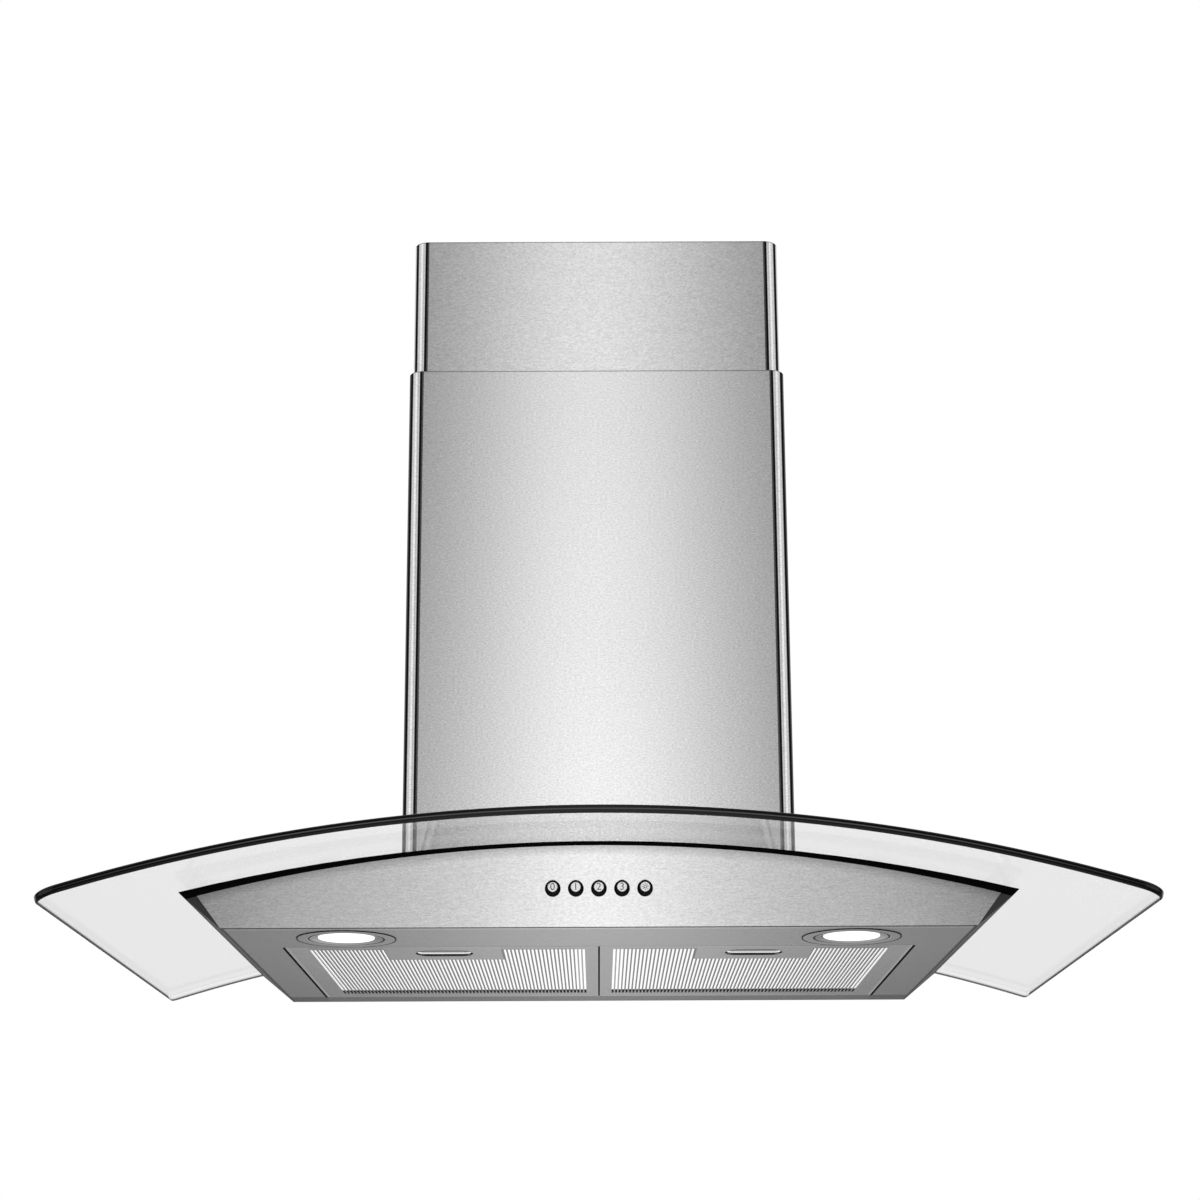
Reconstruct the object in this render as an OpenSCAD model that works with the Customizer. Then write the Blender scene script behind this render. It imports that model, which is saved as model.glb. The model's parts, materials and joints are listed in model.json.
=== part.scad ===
// Wall mount range hood: a bent glass canopy on a shallow steel body, under a telescoping chimney.
// X runs to the right, Y runs into the wall (the wall is at Y = 0) and Z runs up.
// The modules measure height from the flat underside of the body; place() then moves the whole
// hood down, so that the origin is the centre of the four wall screws.

/* [Glass canopy] */
// Width of the glass
glass_w = 762; // [720:2:800]
// Depth of the glass, from the wall to its front edge
glass_d = 502; // [480:2:540]
// Thickness of the glass
glass_t = 6; // [5:0.5:8]
// Radius of the bend, at the underside of the glass
glass_bend_r = 1257; // [1220:1:1500]
// Height of the middle of the glass underside above the body's underside
glass_h = 59; // [56:0.5:66]
// Radius of the two front corners
glass_front_r = 18; // [8:1:40]
// Radius of the two rear corners
glass_rear_r = 5; // [2:1:15]
// Sideways distance of the glass screws from the middle
glass_screw_x = 205; // [190:1:230]
// Distance of the rear glass screws from the wall
glass_screw_rear_y = 70; // [50:1:90]
// Distance of the front glass screws from the wall
glass_screw_front_y = 320; // [290:1:335]
// Radius of the glass screws
glass_screw_r = 2.5; // [2:0.1:3]
// Radius of the domed heads of the glass screws
glass_cap_r = 8; // [6.5:0.5:10]
// Thickness of the seal between the body and the glass
gasket_t = 3; // [2:0.5:4]
// Width of the seal
gasket_w = 12; // [8:1:18]

/* [Body] */
// Width of the underside
body_w = 542; // [530:1:560]
// Depth of the underside, from the wall to the front panel
body_d = 389; // [380:1:400]
// Forward lean of the front panel, in degrees
fascia_lean = 19.6; // [16:0.2:24]
// Outward lean of the ends of the front panel, in degrees
fascia_flare = 36; // [28:1:40]
// Outward lean of the side panels, in degrees
side_lean = 50; // [44:1:55]
// Thickness of the body's sheet steel
sheet_t = 1.2; // [0.8:0.1:1.5]
// Width of the side panels' front return
side_return = 22; // [16:1:30]
// Height of the top of the back plate
back_top = 332; // [326:1:345]

/* [Wall fixing] */
// Distance of the wall screws from the side edges of the back plate
wall_screw_edge = 9.5; // [6.5:0.5:12]
// Vertical spacing of the wall screws
wall_screw_dz = 160; // [120:5:180]
// Height of the centre of the wall screws
wall_screw_z = 230; // [200:5:235]
// Radius of the wall screw holes
wall_hole_r = 3.5; // [2.5:0.25:4]

/* [Push buttons] */
// Spacing of the five buttons
button_pitch = 16.5; // [16:0.5:20]
// Height of the buttons
button_z = 26.6; // [25:0.2:28]
// Radius of a button
button_r = 5.2; // [4.5:0.1:5.6]
// How far a button stands out of the front panel
button_proud = 6.5; // [5:0.5:8]
// Radius of the flat face of a button
button_face_r = 3.5; // [2.8:0.1:3.8]
// Travel of a button
button_travel = 3; // [2:0.5:3.5]
// Height of the switch housing
switch_h = 24; // [20:1:26]
// Room behind a pressed button for its closed spring
spring_room = 11; // [9:0.5:14]
// Front and side walls of the switch housing
switch_wall = 2; // [1.5:0.5:3]
// Radius of the wire of a button spring
button_wire_r = 0.3; // [0.2:0.05:0.4]

/* [Lamps] */
// Sideways distance of the lamps from the middle
lamp_x = 186; // [180:1:192]
// Distance of the lamps behind the front edge of the underside
lamp_back = 46; // [44:0.5:48]
// Outer radius of a lamp bezel
lamp_r = 36.8; // [34:0.2:38]
// Radius of the groove in a lamp bezel
lamp_groove_r = 27.6; // [26:0.2:28.5]
// Radius of the window of a lamp
lamp_window_r = 20.8; // [16:0.2:23]
// How far a bezel stands out below the underside
lamp_proud = 1.8; // [1:0.1:3]
// Radius of the tube of a bezel
lamp_tube_r = 30.6; // [30:0.2:32]
// Height of the tube of a bezel
lamp_tube_h = 16; // [14:1:20]

/* [Grease filters] */
// Width of a filter
filter_w = 236.2; // [230:0.2:240]
// Distance of the rear edge of the filters from the wall
filter_rear = 32.4; // [30:0.2:36]
// Depth of the plain strip of the underside in front of the filters
front_strip = 85.8; // [85:0.2:89]
// Height of a filter
filter_h = 9; // [8:0.5:11]
// Gap between the two filters
filter_gap = 1; // [0.8:0.1:2]
// Thickness of a filter's steel
filter_t = 1; // [0.7:0.1:1.2]
// Border between the outer edge of a filter and its slots
filter_outer_border = 15.8; // [12:0.2:20]
// Border between the middle edge of a filter and its slots
filter_inner_border = 10.3; // [8:0.1:14]
// Border in front of the slots
filter_front_border = 13; // [11:0.5:16]
// Border behind the slots
filter_rear_border = 17.6; // [15:0.2:20]
// Spacing of the slots
slot_pitch = 3; // [3:0.25:5]
// Width of a slot
slot_w = 1.8; // [1.2:0.1:2]
// Width of the plain plate around the latch
latch_plate_w = 88; // [80:1:96]
// Depth of the plain plate behind the front border
latch_plate_d = 49; // [46:1:54]
// Width of the finger recess of the latch
latch_w = 43; // [36:1:48]
// Depth of the finger recess of the latch
latch_d = 21; // [19:0.5:24]
// Distance from the front edge of a filter to the middle of the recess
latch_y = 31; // [29:0.5:33]
// Travel of the latch
latch_travel = 5; // [4:0.5:6]
// Width of the latch tongue
tongue_w = 24; // [16:1:30]
// Radius of the wire of a latch spring
latch_wire_r = 0.35; // [0.25:0.05:0.5]

/* [Chimney] */
// Room from the side of the blower box to the outside of the lower chimney
side_room = 33.5; // [31:0.5:34]
// Depth of the lower chimney
chimney_d = 252; // [251:1:258]
// Height of the top of the lower chimney
chimney_top = 490; // [450:5:560]
// Height of the top of the upper chimney, as shown
hood_top = 608; // [600:2:640]
// Length of the upper chimney
upper_l = 400; // [380:5:420]
// Radius of the rounded corners
chimney_r = 11.5; // [6:0.5:14]
// Thickness of the chimney's steel
chimney_t = 1; // [0.6:0.1:1.2]
// Step between the outer faces of the two chimneys
chimney_step = 2.8; // [2.8:0.1:4]
// Width of the lower chimney's rear returns
chimney_return = 11; // [8:1:12]
// Height of the wall bracket of the upper chimney above its lower edge
bracket_h = 30; // [24:1:40]
// Depth of the ears of the wall bracket
bracket_ear = 60; // [40:2:80]
// Spacing of the two holes for wall screws in the bracket
bracket_dx = 160; // [120:5:200]

/* [Blower] */
// Width of the blower box
box_w = 244; // [240:1:246]
// Distance of the front of the blower box from the wall
box_front = 226; // [222:1:232]
// Distance of the back of the blower box from the wall
box_rear = 10; // [8:0.5:11]
// Height of the top of the blower box
box_top = 320; // [310:2:324]
// Thickness of the blower box's steel
box_t = 1; // [0.8:0.1:1.2]
// Distance of the impeller's axis from the wall
fan_y = 96; // [94:0.5:98]
// Height of the impeller's axis
fan_z = 165; // [158:1:180]
// Radius of the impeller
fan_r = 66; // [60:1:67]
// Width of the impeller
fan_w = 104; // [90:2:106]
// Radial depth of the blades
blade_d = 10; // [8:0.5:11]
// Number of blades on the impeller
blade_count = 28; // [20:1:36]
// Thickness of a blade
blade_t = 0.8; // [0.6:0.1:1]
// Inner width of the scroll housing
scroll_w = 116; // [112:2:120]
// Wall of the scroll housing
scroll_t = 2; // [1.5:0.5:2.5]
// Least gap between the impeller and the scroll housing
scroll_gap = 6; // [5:0.5:7]
// Growth of the scroll over its turn
scroll_growth = 24; // [18:1:25]
// Radius of the motor
motor_r = 40; // [34:1:42]
// Length of the motor
motor_l = 66; // [60:1:70]
// Radius of the motor shaft
shaft_r = 4; // [3:0.25:5]
// Width of the bars of the intake guard
guard_bar = 2; // [1.6:0.2:3]
// Spacing of the bars of the intake guard
guard_pitch = 16; // [12:1:20]

/* [Duct collar] */
// Outer radius of the collar
collar_r = 75; // [72:0.5:75]
// Wall of the collar
collar_t = 1.5; // [1:0.25:2]
// Height of the collar
collar_h = 45; // [40:1:55]
// Distance of the collar's axis from the wall
collar_y = 126; // [124:0.5:128]
// Radius of the damper rod
rod_r = 1.5; // [1.25:0.05:2]
// Thickness of a damper flap
flap_t = 1; // [0.8:0.1:1.5]

/* [Hidden] */

$fn = 64;
// Facets of a full turn of the large bend, and a length beyond every piece
bend_fn = 720;
reach = 900;
// Gap between sheets that meet, clearance of moving pieces and running fit of a pin or plunger
seat = 0.1;
clear = 0.4;
running = 0.06;
// Small overlap that lets a cut pass a face
cut = 1;

// Bend radii of the glass top, the body's top edge and the deck's underside
glass_top_r = glass_bend_r + glass_t;
body_top_r = glass_bend_r - gasket_t;
deck_under_r = body_top_r - sheet_t;
// The seal's front edge is straight and meets the slanted front panel at its middle
seal_front = body_d + (glass_h - gasket_t) * tan(fascia_lean) + 0.4;
bend_z = glass_h - glass_bend_r;
chimney_w = box_w + 2 * side_room;
back_w = chimney_w - 2 * (chimney_t + chimney_return + 1.5);
wall_screw_dx = back_w - 2 * wall_screw_edge;
lamp_y = body_d - lamp_back;
filter_front = body_d - front_strip;
back_foot_x = body_w / 2 - sheet_t / cos(side_lean) - seat;
notch_w = back_w + 2 * sheet_t;
notch_d = box_front + 8;

// Glass screws: hole in the glass, flange of the bush, domed head and threaded boss under the deck
glass_hole_r = glass_screw_r + 2.3;
bush_t = 1;
cap_rim = 1.5;
dome_h = 4;
boss_h = 8;
boss_r = 6;

// Front panel surface at the height of the buttons, and the switch housing behind it
fascia_y = -(body_d + button_z * tan(fascia_lean));
switch_z = button_z - switch_h / 2;
switch_w = 5 * button_pitch + 4;
foot_w = 10;
foot_reach = 14;
foot_screw_r = 1.6;
switch_y = -(body_d + switch_z * tan(fascia_lean)) + sheet_t / cos(fascia_lean) + 1;
button_hole_r = button_r + clear;
button_bore_r = button_r + running;
flange_r = button_r + 1.2;
flange_t = 2;
cavity_r = flange_r + clear;
wall_in = fascia_y - switch_y - switch_wall;
flange_out = wall_in - clear / 2;
stem_r = 1.8;
stem_l = 4;
switch_d = 2 * switch_wall + flange_t + stem_l + button_travel + spring_room;
button_spring_l = switch_d - 2 * switch_wall - flange_t - clear / 2 - 2 * seat;

// Lens, reflector and board of a lamp
lens_z = 2.4;
lens_t = 2;
reflector_h = 10;
board_z = lens_z + lens_t + reflector_h + 0.6;
board_t = 1.6;

// Opening for the filters in the underside
filter_mid = (filter_w + filter_gap) / 2;
open_x = filter_w + filter_gap / 2 + filter_gap;
open_rear = filter_rear - filter_gap;
open_front = filter_front + filter_gap;
ledge_h = filter_h + 3;
rail_w = 16;
rail_h = 11.6;
slot_field = filter_w - filter_outer_border - filter_inner_border;
slot_count = floor((slot_field + slot_pitch - slot_w) / slot_pitch);
slot_l = filter_front - filter_rear - filter_front_border - filter_rear_border;
latch_mid_x = filter_w / 2;
tongue_z = filter_t + 3;
tongue_t = 1.5;
tongue_out = 5;
latch_gap = 1;
latch_body_w = latch_w - 2 * latch_gap;
latch_body_d = latch_d - latch_travel - 2 * latch_gap;
latch_front = latch_y - latch_d / 2 + latch_gap;
latch_spring_l = filter_front_border + latch_plate_d - filter_t - clear - latch_front - latch_body_d;
cup_top = filter_h - 1.5;
cup_wall = 1.2;
roll_r = 0.7;
tab_w = 20;
tab_x = 70;
tab_z = 3.2;
pleat_pitch = 9;
pleat_t = 0.8;

// Chimney shells
lower_x = chimney_w / 2;
upper_x = lower_x - chimney_step;
upper_y = chimney_d - chimney_step;
upper_bottom = hood_top - upper_l;
upper_rear = chimney_t + chimney_step - 1;
bracket_t = 1.5;
bracket_z = hood_top - bracket_h - 12;
bracket_x = upper_x - chimney_t;
bracket_screw_y = 40;
tie_w = 30;
tie_h = 24;
tie_z = 66;
tie_y = 80;
small_screw_r = 1.9;
small_head_r = 3.6;
small_head_t = 1.8;

// Blower
scroll_x = scroll_w / 2 + scroll_t;
throat_z = box_top - box_t;
spiral_start = -60;
inlet_r = fan_r - blade_d + 2;
ring_w = 3;
hub_r = 14;
motor_x = 10;
mount_x = scroll_x + 10;
mount_ring_t = 3;
leg_out = small_head_r + 0.6;
mount_r = inlet_r + 9;
intake_x = box_w / 2 - 8;
intake_front = box_front - 6;
intake_rear = box_rear + 6;
cover_t = 1;
cover_z = 64;
cover_ear = 12;
guard_rim = 4;

// Duct collar and damper
collar_z = box_top;
flange_plate_t = 1.5;
adapter_w = 172;
rod_z = collar_z + 20;
flap_r = collar_r - collar_t - 2;
knuckle_r = rod_r + running + 1;
knuckle_half = 28;
knuckle_l = 30;
lip_w = 3.5;

// Control box on the left of the blower box
control_h = 86;
control_l = 110;
control_w = 22;
control_y = 190;
control_z = 112;
control_t = 1.5;
control_x = -box_w / 2 - seat;
gland_r = 5;
gland_nut_r = 9;
lead_r = 2.2;
lead_hole_x = box_w / 2 + 8;
lead_hole_y = 150;

module place() {
    translate([0, 0, -wall_screw_z]) children();
}

// A solid cylinder about the axis of the glass's bend
module bend(r) {
    translate([0, -reach, bend_z]) rotate([-90, 0, 0]) cylinder(r = r, h = 2 * reach, $fn = bend_fn);
}

// Half spaces that bound the body, each moved inwards by its offset
module behind_front(offset) {
    translate([0, -body_d, 0]) rotate([fascia_lean, 0, 0])
        translate([-reach, offset, -reach]) cube(2 * reach);
}
module inside_end(s, offset, lean) {
    mirror([s < 0 ? 1 : 0, 0, 0]) translate([body_w / 2, 0, 0]) rotate([0, lean, 0])
        translate([-2 * reach - offset, -reach, -reach]) cube(2 * reach);
}
module off_wall(offset) {
    translate([-reach, -2 * reach - offset, -reach]) cube(2 * reach);
}
module above(z) {
    translate([-reach, -reach, z]) cube(2 * reach);
}

// The space inside the body, with its faces moved inwards
module body_space(front, side, rear, floor_z, top_r) {
    intersection() {
        behind_front(front);
        inside_end(1, side, side_lean);
        inside_end(-1, side, side_lean);
        off_wall(rear);
        above(floor_z);
        bend(top_r);
    }
}

// Children stand on the glass underside, square to the bend
module on_bend(x, y) {
    translate([0, y, bend_z]) rotate([0, asin(x / glass_bend_r), 0]) translate([0, 0, glass_bend_r]) children();
}
module at_glass_screws() {
    for (x = [-glass_screw_x, glass_screw_x])
        for (y = [-glass_screw_rear_y, -glass_screw_front_y]) on_bend(x, y) children();
}

// A block centred on X, given by its height and its near and far distance from the wall
module block(w, near, far, z0, z1) {
    translate([-w / 2, -far, z0]) cube([w, far - near, z1 - z0]);
}

// Glass, flat outline with round corners, as seen from above
module glass_outline() {
    fx = glass_w / 2 - glass_front_r;
    rx = glass_w / 2 - glass_rear_r;
    translate([-fx, -glass_d]) square([2 * fx, glass_d]);
    translate([-glass_w / 2, -glass_d + glass_front_r])
        square([glass_w, glass_d - glass_front_r - glass_rear_r]);
    translate([-rx, -glass_rear_r - cut]) square([2 * rx, glass_rear_r + cut]);
    for (s = [-1, 1]) {
        translate([s * fx, -glass_d + glass_front_r]) circle(glass_front_r);
        translate([s * rx, -glass_rear_r]) circle(glass_rear_r);
    }
}
module glass_canopy() {
    color([0.85, 0.9, 0.9, 0.4]) difference() {
        intersection() {
            linear_extrude(height = glass_h + glass_t + 10) glass_outline();
            bend(glass_top_r);
        }
        bend(glass_bend_r);
        block(notch_w, -cut, notch_d, 0, reach);
        at_glass_screws() translate([0, 0, -cut]) cylinder(r = glass_hole_r, h = glass_t + 2 * cut);
    }
}
module glass_gasket() {
    color("black") difference() {
        intersection() {
            body_space(-gasket_w * 2, 0, seat, 0, glass_bend_r);
            block(2 * reach, 0, seal_front, 0, reach);
        }
        bend(body_top_r);
        body_space(gasket_w, gasket_w, gasket_w, 0, glass_bend_r + cut);
        block(notch_w, -cut, notch_d, 0, reach);
    }
}
// A rubber washer under the glass and a flanged bush in each hole of the glass
module glass_washers() {
    bore_r = glass_screw_r + running;
    color([0.12, 0.12, 0.12]) at_glass_screws() {
        difference() {
            translate([0, 0, seat - gasket_t]) cylinder(r = glass_cap_r + 2, h = gasket_t - 2 * seat);
            translate([0, 0, -gasket_t]) cylinder(r = bore_r, h = gasket_t);
        }
        difference() {
            union() {
                translate([0, 0, seat]) cylinder(r = glass_hole_r - seat, h = glass_t);
                translate([0, 0, glass_t + seat]) cylinder(r = glass_cap_r, h = bush_t);
            }
            cylinder(r = bore_r, h = glass_t + 2);
        }
    }
}
module glass_screws() {
    head_z = glass_t + bush_t + 2 * seat;
    dome_r = (glass_cap_r * glass_cap_r + dome_h * dome_h) / (2 * dome_h);
    color("silver") at_glass_screws() {
        translate([0, 0, -gasket_t - boss_h]) cylinder(r = glass_screw_r, h = head_z + gasket_t + boss_h + 1);
        translate([0, 0, head_z]) cylinder(r = glass_cap_r, h = cap_rim);
        translate([0, 0, head_z + cap_rim]) intersection() {
            translate([0, 0, dome_h - dome_r]) sphere(r = dome_r);
            cylinder(r = glass_cap_r, h = dome_h + cut);
        }
    }
}

// Front panel with five holes
module front_fascia() {
    color([0.78, 0.78, 0.79]) difference() {
        intersection() {
            translate([0, -body_d, 0]) rotate([fascia_lean, 0, 0])
                translate([-reach, 0, -reach]) cube([2 * reach, sheet_t, 2 * reach]);
            inside_end(1, 0, fascia_flare);
            inside_end(-1, 0, fascia_flare);
            above(0);
            bend(body_top_r);
        }
        at_buttons() cylinder(r = button_hole_r, h = 60, center = true);
    }
}
// Side panel: a leaning sheet with a return behind the end of the front panel
module side_panel(s) {
    color([0.2, 0.2, 0.21]) intersection() {
        union() {
            difference() {
                inside_end(s, 0, side_lean);
                inside_end(s, sheet_t, side_lean);
            }
            difference() {
                intersection() {
                    inside_end(s, 0, side_lean);
                    behind_front(sheet_t + seat);
                }
                behind_front(2 * sheet_t + seat);
                inside_end(s, side_return, side_lean);
                translate([0, 0, -2 * reach]) above(sheet_t + seat);
            }
        }
        behind_front(sheet_t + seat);
        off_wall(0);
        above(0);
        bend(body_top_r);
        translate([s > 0 ? 0 : -reach, -reach, 0]) cube(reach);
    }
}
module left_side_panel() { side_panel(-1); }
module right_side_panel() { side_panel(1); }

// Underside with the filter opening, its raised ledges and the lamp holes
module underside_panel() {
    edge = sheet_t + seat;
    color([0.6, 0.6, 0.61]) difference() {
        union() {
            difference() {
                body_space(edge, edge, edge, 0, glass_bend_r);
                above(sheet_t);
                translate([-open_x, -open_front, -cut]) cube([2 * open_x, open_front - open_rear, 4]);
            }
            for (y = [-open_front - sheet_t, -open_rear])
                translate([-open_x - sheet_t, y, 0]) cube([2 * (open_x + sheet_t), sheet_t, ledge_h]);
            for (x = [-open_x - sheet_t, open_x])
                translate([x, -open_front, 0]) cube([sheet_t, open_front - open_rear, ledge_h]);
        }
        for (s = [-1, 1]) {
            translate([s * lamp_x, -lamp_y, -cut]) cylinder(r = lamp_tube_r + clear, h = 4);
            // Windows for the latch tongue in front and for the two tabs behind
            translate([s * filter_mid - tongue_w / 2 - 1, -open_front - 2, tongue_z - clear])
                cube([tongue_w + 2, 3, tongue_t + 2]);
            for (t = [-tab_x, tab_x]) translate([s * filter_mid + t - tab_w / 2 - 1, -open_rear - 1, tab_z - clear])
                cube([tab_w + 2, 3, ledge_h]);
        }
    }
}

// Back plate: low behind the body, tall and narrower behind the blower box
module back_panel() {
    color([0.62, 0.62, 0.63]) rotate([90, 0, 0]) difference() {
        linear_extrude(height = sheet_t) union() {
            intersection() {
                translate([0, bend_z]) circle(r = body_top_r, $fn = bend_fn);
                polygon([
                    for (s = [-1, 1]) [s * back_foot_x, 0],
                    for (s = [1, -1]) [s * (back_foot_x + glass_h * tan(side_lean)), glass_h]
                ]);
            }
            translate([-back_w / 2, ledge_h]) square([back_w, back_top - ledge_h]);
        }
        for (s = [-1, 1]) for (z = [-1, 1])
            translate([s * wall_screw_dx / 2, wall_screw_z + z * wall_screw_dz / 2, -cut])
                cylinder(r = wall_hole_r, h = sheet_t + 2 * cut);
    }
}
// Curved deck under the glass, with the intake opening and four threaded bosses
module top_deck() {
    edge = 2 * sheet_t + 2 * seat;
    color([0.55, 0.55, 0.56]) difference() {
        union() {
            difference() {
                body_space(edge, sheet_t + seat, sheet_t + seat, 0, body_top_r);
                bend(deck_under_r);
            }
            at_glass_screws() translate([0, 0, -gasket_t - boss_h - 1]) cylinder(r = boss_r, h = boss_h + 0.5);
        }
        block(2 * intake_x, intake_rear, intake_front, 0, reach);
        at_glass_screws() translate([0, 0, -gasket_t - boss_h - 2]) cylinder(r = glass_screw_r + running, h = boss_h + 4);
        translate([-lead_hole_x, -lead_hole_y, 0]) cylinder(r = 2 * lead_r, h = 100);
    }
}
module at_buttons() {
    for (i = [-2:2]) at_button(i) children();
}
// Children are drawn with +Z pointing out of the front panel
module at_button(i) {
    translate([i * button_pitch, fascia_y, button_z]) rotate([90, 0, 0]) children();
}
module button(i) {
    round_r = button_r - button_face_r;
    color([0.75, 0.75, 0.77]) at_button(i) {
        rotate_extrude() {
            translate([0, flange_out - flange_t]) square([flange_r, flange_t]);
            translate([0, flange_out - 0.5]) square([button_r, button_proud - round_r - flange_out + 0.5]);
            translate([0, flange_out]) square([button_face_r, button_proud - flange_out]);
            translate([button_face_r, button_proud - round_r]) circle(round_r);
        }
        translate([0, 0, flange_out - flange_t - stem_l]) cylinder(r = stem_r, h = stem_l + 0.5);
    }
}
module button_off() { button(-2); }
module button_low() { button(-1); }
module button_medium() { button(0); }
module button_high() { button(1); }
module button_light() { button(2); }

module switch_housing() {
    color([0.1, 0.1, 0.1]) difference() {
        union() {
            translate([-switch_w / 2, switch_y, switch_z]) cube([switch_w, switch_d - switch_wall, switch_h]);
            // Feet that reach forward to the slanted panel
            intersection() {
                for (s = [-1, 1]) translate([s * (switch_w / 2 + foot_w / 2) - foot_w / 2, switch_y - foot_reach, switch_z])
                    cube([foot_w, foot_reach + 3, switch_h]);
                behind_front(sheet_t + seat);
            }
        }
        at_buttons() {
            translate([0, 0, -60]) cylinder(r = button_bore_r, h = 80);
            translate([0, 0, -60]) cylinder(r = cavity_r, h = 60 + wall_in);
        }
        for (s = [-1, 1]) translate([s * (switch_w / 2 + foot_w / 2 + 1), switch_y - 30, button_z])
            rotate([-90, 0, 0]) cylinder(r = foot_screw_r, h = 60);
    }
}
// Contact board that closes the housing behind the buttons
module switch_board() {
    color([0.1, 0.35, 0.15]) translate([-switch_w / 2, switch_y + switch_d - switch_wall + seat, switch_z])
        cube([switch_w, board_t, switch_h]);
}

// Points of a ring of the spring's wire, at a turn t of a spring of given radius and pitch
function wire_ring(t, r, pitch, wire, sides) = [
    for (k = [0:sides - 1])
        let (u = r + wire * cos(360 * k / sides), v = wire * sin(360 * k / sides))
            [u * cos(360 * t), u * sin(360 * t), pitch * t + v]
];
// Compression spring along +Z: one unbroken tube
module spring(r, length, turns, wire) {
    sides = 6;
    per_turn = 8;
    rings = turns * per_turn;
    pitch = (length - 2 * wire) / turns;
    points = [for (j = [0:rings]) each wire_ring(j / per_turn, r, pitch, wire, sides)];
    translate([0, 0, wire]) polyhedron(points = points, faces = concat(
        [[for (k = [0:sides - 1]) k]],
        [for (j = [0:rings - 1]) for (k = [0:sides - 1]) let (a = j * sides, b = a + sides, n = (k + 1) % sides)
            each [[a + k, b + k, b + n], [a + k, b + n, a + n]]],
        [[for (k = [sides - 1:-1:0]) rings * sides + k]]
    ));
}
module button_springs() {
    color("silver") at_buttons() translate([0, 0, flange_out - flange_t - button_spring_l - 0.1])
        spring(3, button_spring_l, 5, button_wire_r);
}

// Lamps
module at_lamp(s) {
    translate([s * lamp_x, -lamp_y, 0]) children();
}
module lamp_bezel(s) {
    color("silver") at_lamp(s) rotate_extrude() polygon([
        [lamp_window_r, lens_z - 1.6], [lamp_groove_r - 0.6, 0.6 - lamp_proud], [lamp_groove_r, 1.6 - lamp_proud],
        [lamp_groove_r + 0.6, 0.6 - lamp_proud], [lamp_groove_r + 1.4, -lamp_proud],
        [lamp_r - 1.2, -lamp_proud], [lamp_r, 1.2 - lamp_proud], [lamp_r, -seat], [lamp_tube_r, -seat],
        [lamp_tube_r, lamp_tube_h], [lamp_tube_r - 1.2, lamp_tube_h], [lamp_tube_r - 1.2, lens_z - seat],
        [lamp_window_r, lens_z - seat]
    ]);
}
module lamp_lens(s) {
    color([0.95, 0.97, 1]) at_lamp(s) translate([0, 0, lens_z]) cylinder(r = lamp_tube_r - 1.5, h = lens_t);
}
module lamp_reflector(s) {
    wide_r = lamp_tube_r - 2;
    color("silver") at_lamp(s) translate([0, 0, lens_z + lens_t + seat]) rotate_extrude() polygon([
        [wide_r - 1, 0], [wide_r, 0], [wide_r, 1], [11, reflector_h], [10, reflector_h]
    ]);
}
module lamp_board(s) {
    color([0.9, 0.9, 0.85]) at_lamp(s) {
        translate([0, 0, board_z]) cylinder(r = lamp_tube_r - 2, h = board_t);
        translate([0, 0, board_z - 1]) cylinder(r = 6, h = 1.5);
    }
}
module lamp_bezel_left() { lamp_bezel(-1); }
module lamp_bezel_right() { lamp_bezel(1); }
module lamp_lens_left() { lamp_lens(-1); }
module lamp_lens_right() { lamp_lens(1); }
module lamp_reflector_left() { lamp_reflector(-1); }
module lamp_reflector_right() { lamp_reflector(1); }
module lamp_board_left() { lamp_board(-1); }
module lamp_board_right() { lamp_board(1); }

// Filters: children are drawn for the right one, with X measured from its middle edge
module at_filter(s) {
    mirror([s < 0 ? 1 : 0, 0, 0]) translate([filter_gap / 2, 0, 0]) children();
}
// Rectangle with round corners, in plan
module rounded(w, d, r) {
    translate([-w / 2 + r, -d / 2]) square([w - 2 * r, d]);
    translate([-w / 2, -d / 2 + r]) square([w, d - 2 * r]);
    for (x = [-1, 1]) for (y = [-1, 1]) translate([x * (w / 2 - r), y * (d / 2 - r)]) circle(r);
}
plate_x0 = latch_mid_x - latch_plate_w / 2;
plate_x1 = latch_mid_x + latch_plate_w / 2;
plate_rear = filter_front - filter_front_border - latch_plate_d;
module filter_slots() {
    for (i = [0:slot_count - 1]) {
        x = filter_inner_border + i * slot_pitch;
        blocked = x + slot_w > plate_x0 && x < plate_x1;
        y0 = blocked ? -plate_rear : -filter_front + filter_front_border;
        translate([x, y0]) square([slot_w, -filter_rear - filter_rear_border - y0]);
    }
}
module filter_frame(s) {
    depth = filter_front - filter_rear;
    color([0.7, 0.7, 0.7]) at_filter(s) {
        linear_extrude(height = filter_t) difference() {
            translate([0, -filter_front]) square([filter_w, depth]);
            filter_slots();
            translate([latch_mid_x, latch_y - filter_front]) rounded(latch_w, latch_d, latch_d / 2 - 2);
        }
        difference() {
            translate([0, -filter_front, filter_t]) cube([filter_w, depth, filter_h - filter_t]);
            translate([filter_t, -filter_front + filter_t, 0])
                cube([filter_w - 2 * filter_t, depth - 2 * filter_t, filter_h + cut]);
            translate([latch_mid_x - tongue_w / 2 - clear, -filter_front - cut, tongue_z - clear])
                cube([tongue_w + 2 * clear, filter_t + 2 * cut, tongue_t + 2 * clear]);
        }
        // Wall behind the latch and the two rear tabs
        translate([plate_x0, -plate_rear - filter_t, filter_t]) cube([latch_plate_w, filter_t, filter_h - filter_t - 1]);
        for (t = [-tab_x, tab_x]) translate([latch_mid_x + t - tab_w / 2, -filter_rear - filter_t / 2, tab_z])
            cube([tab_w, 4 + filter_t / 2, filter_t]);
        // Rolled rear edge, on which the filter swings
        translate([0, -filter_rear - 0.1, roll_r]) rotate([0, 90, 0]) cylinder(r = roll_r, h = filter_w);
    }
}
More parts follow.
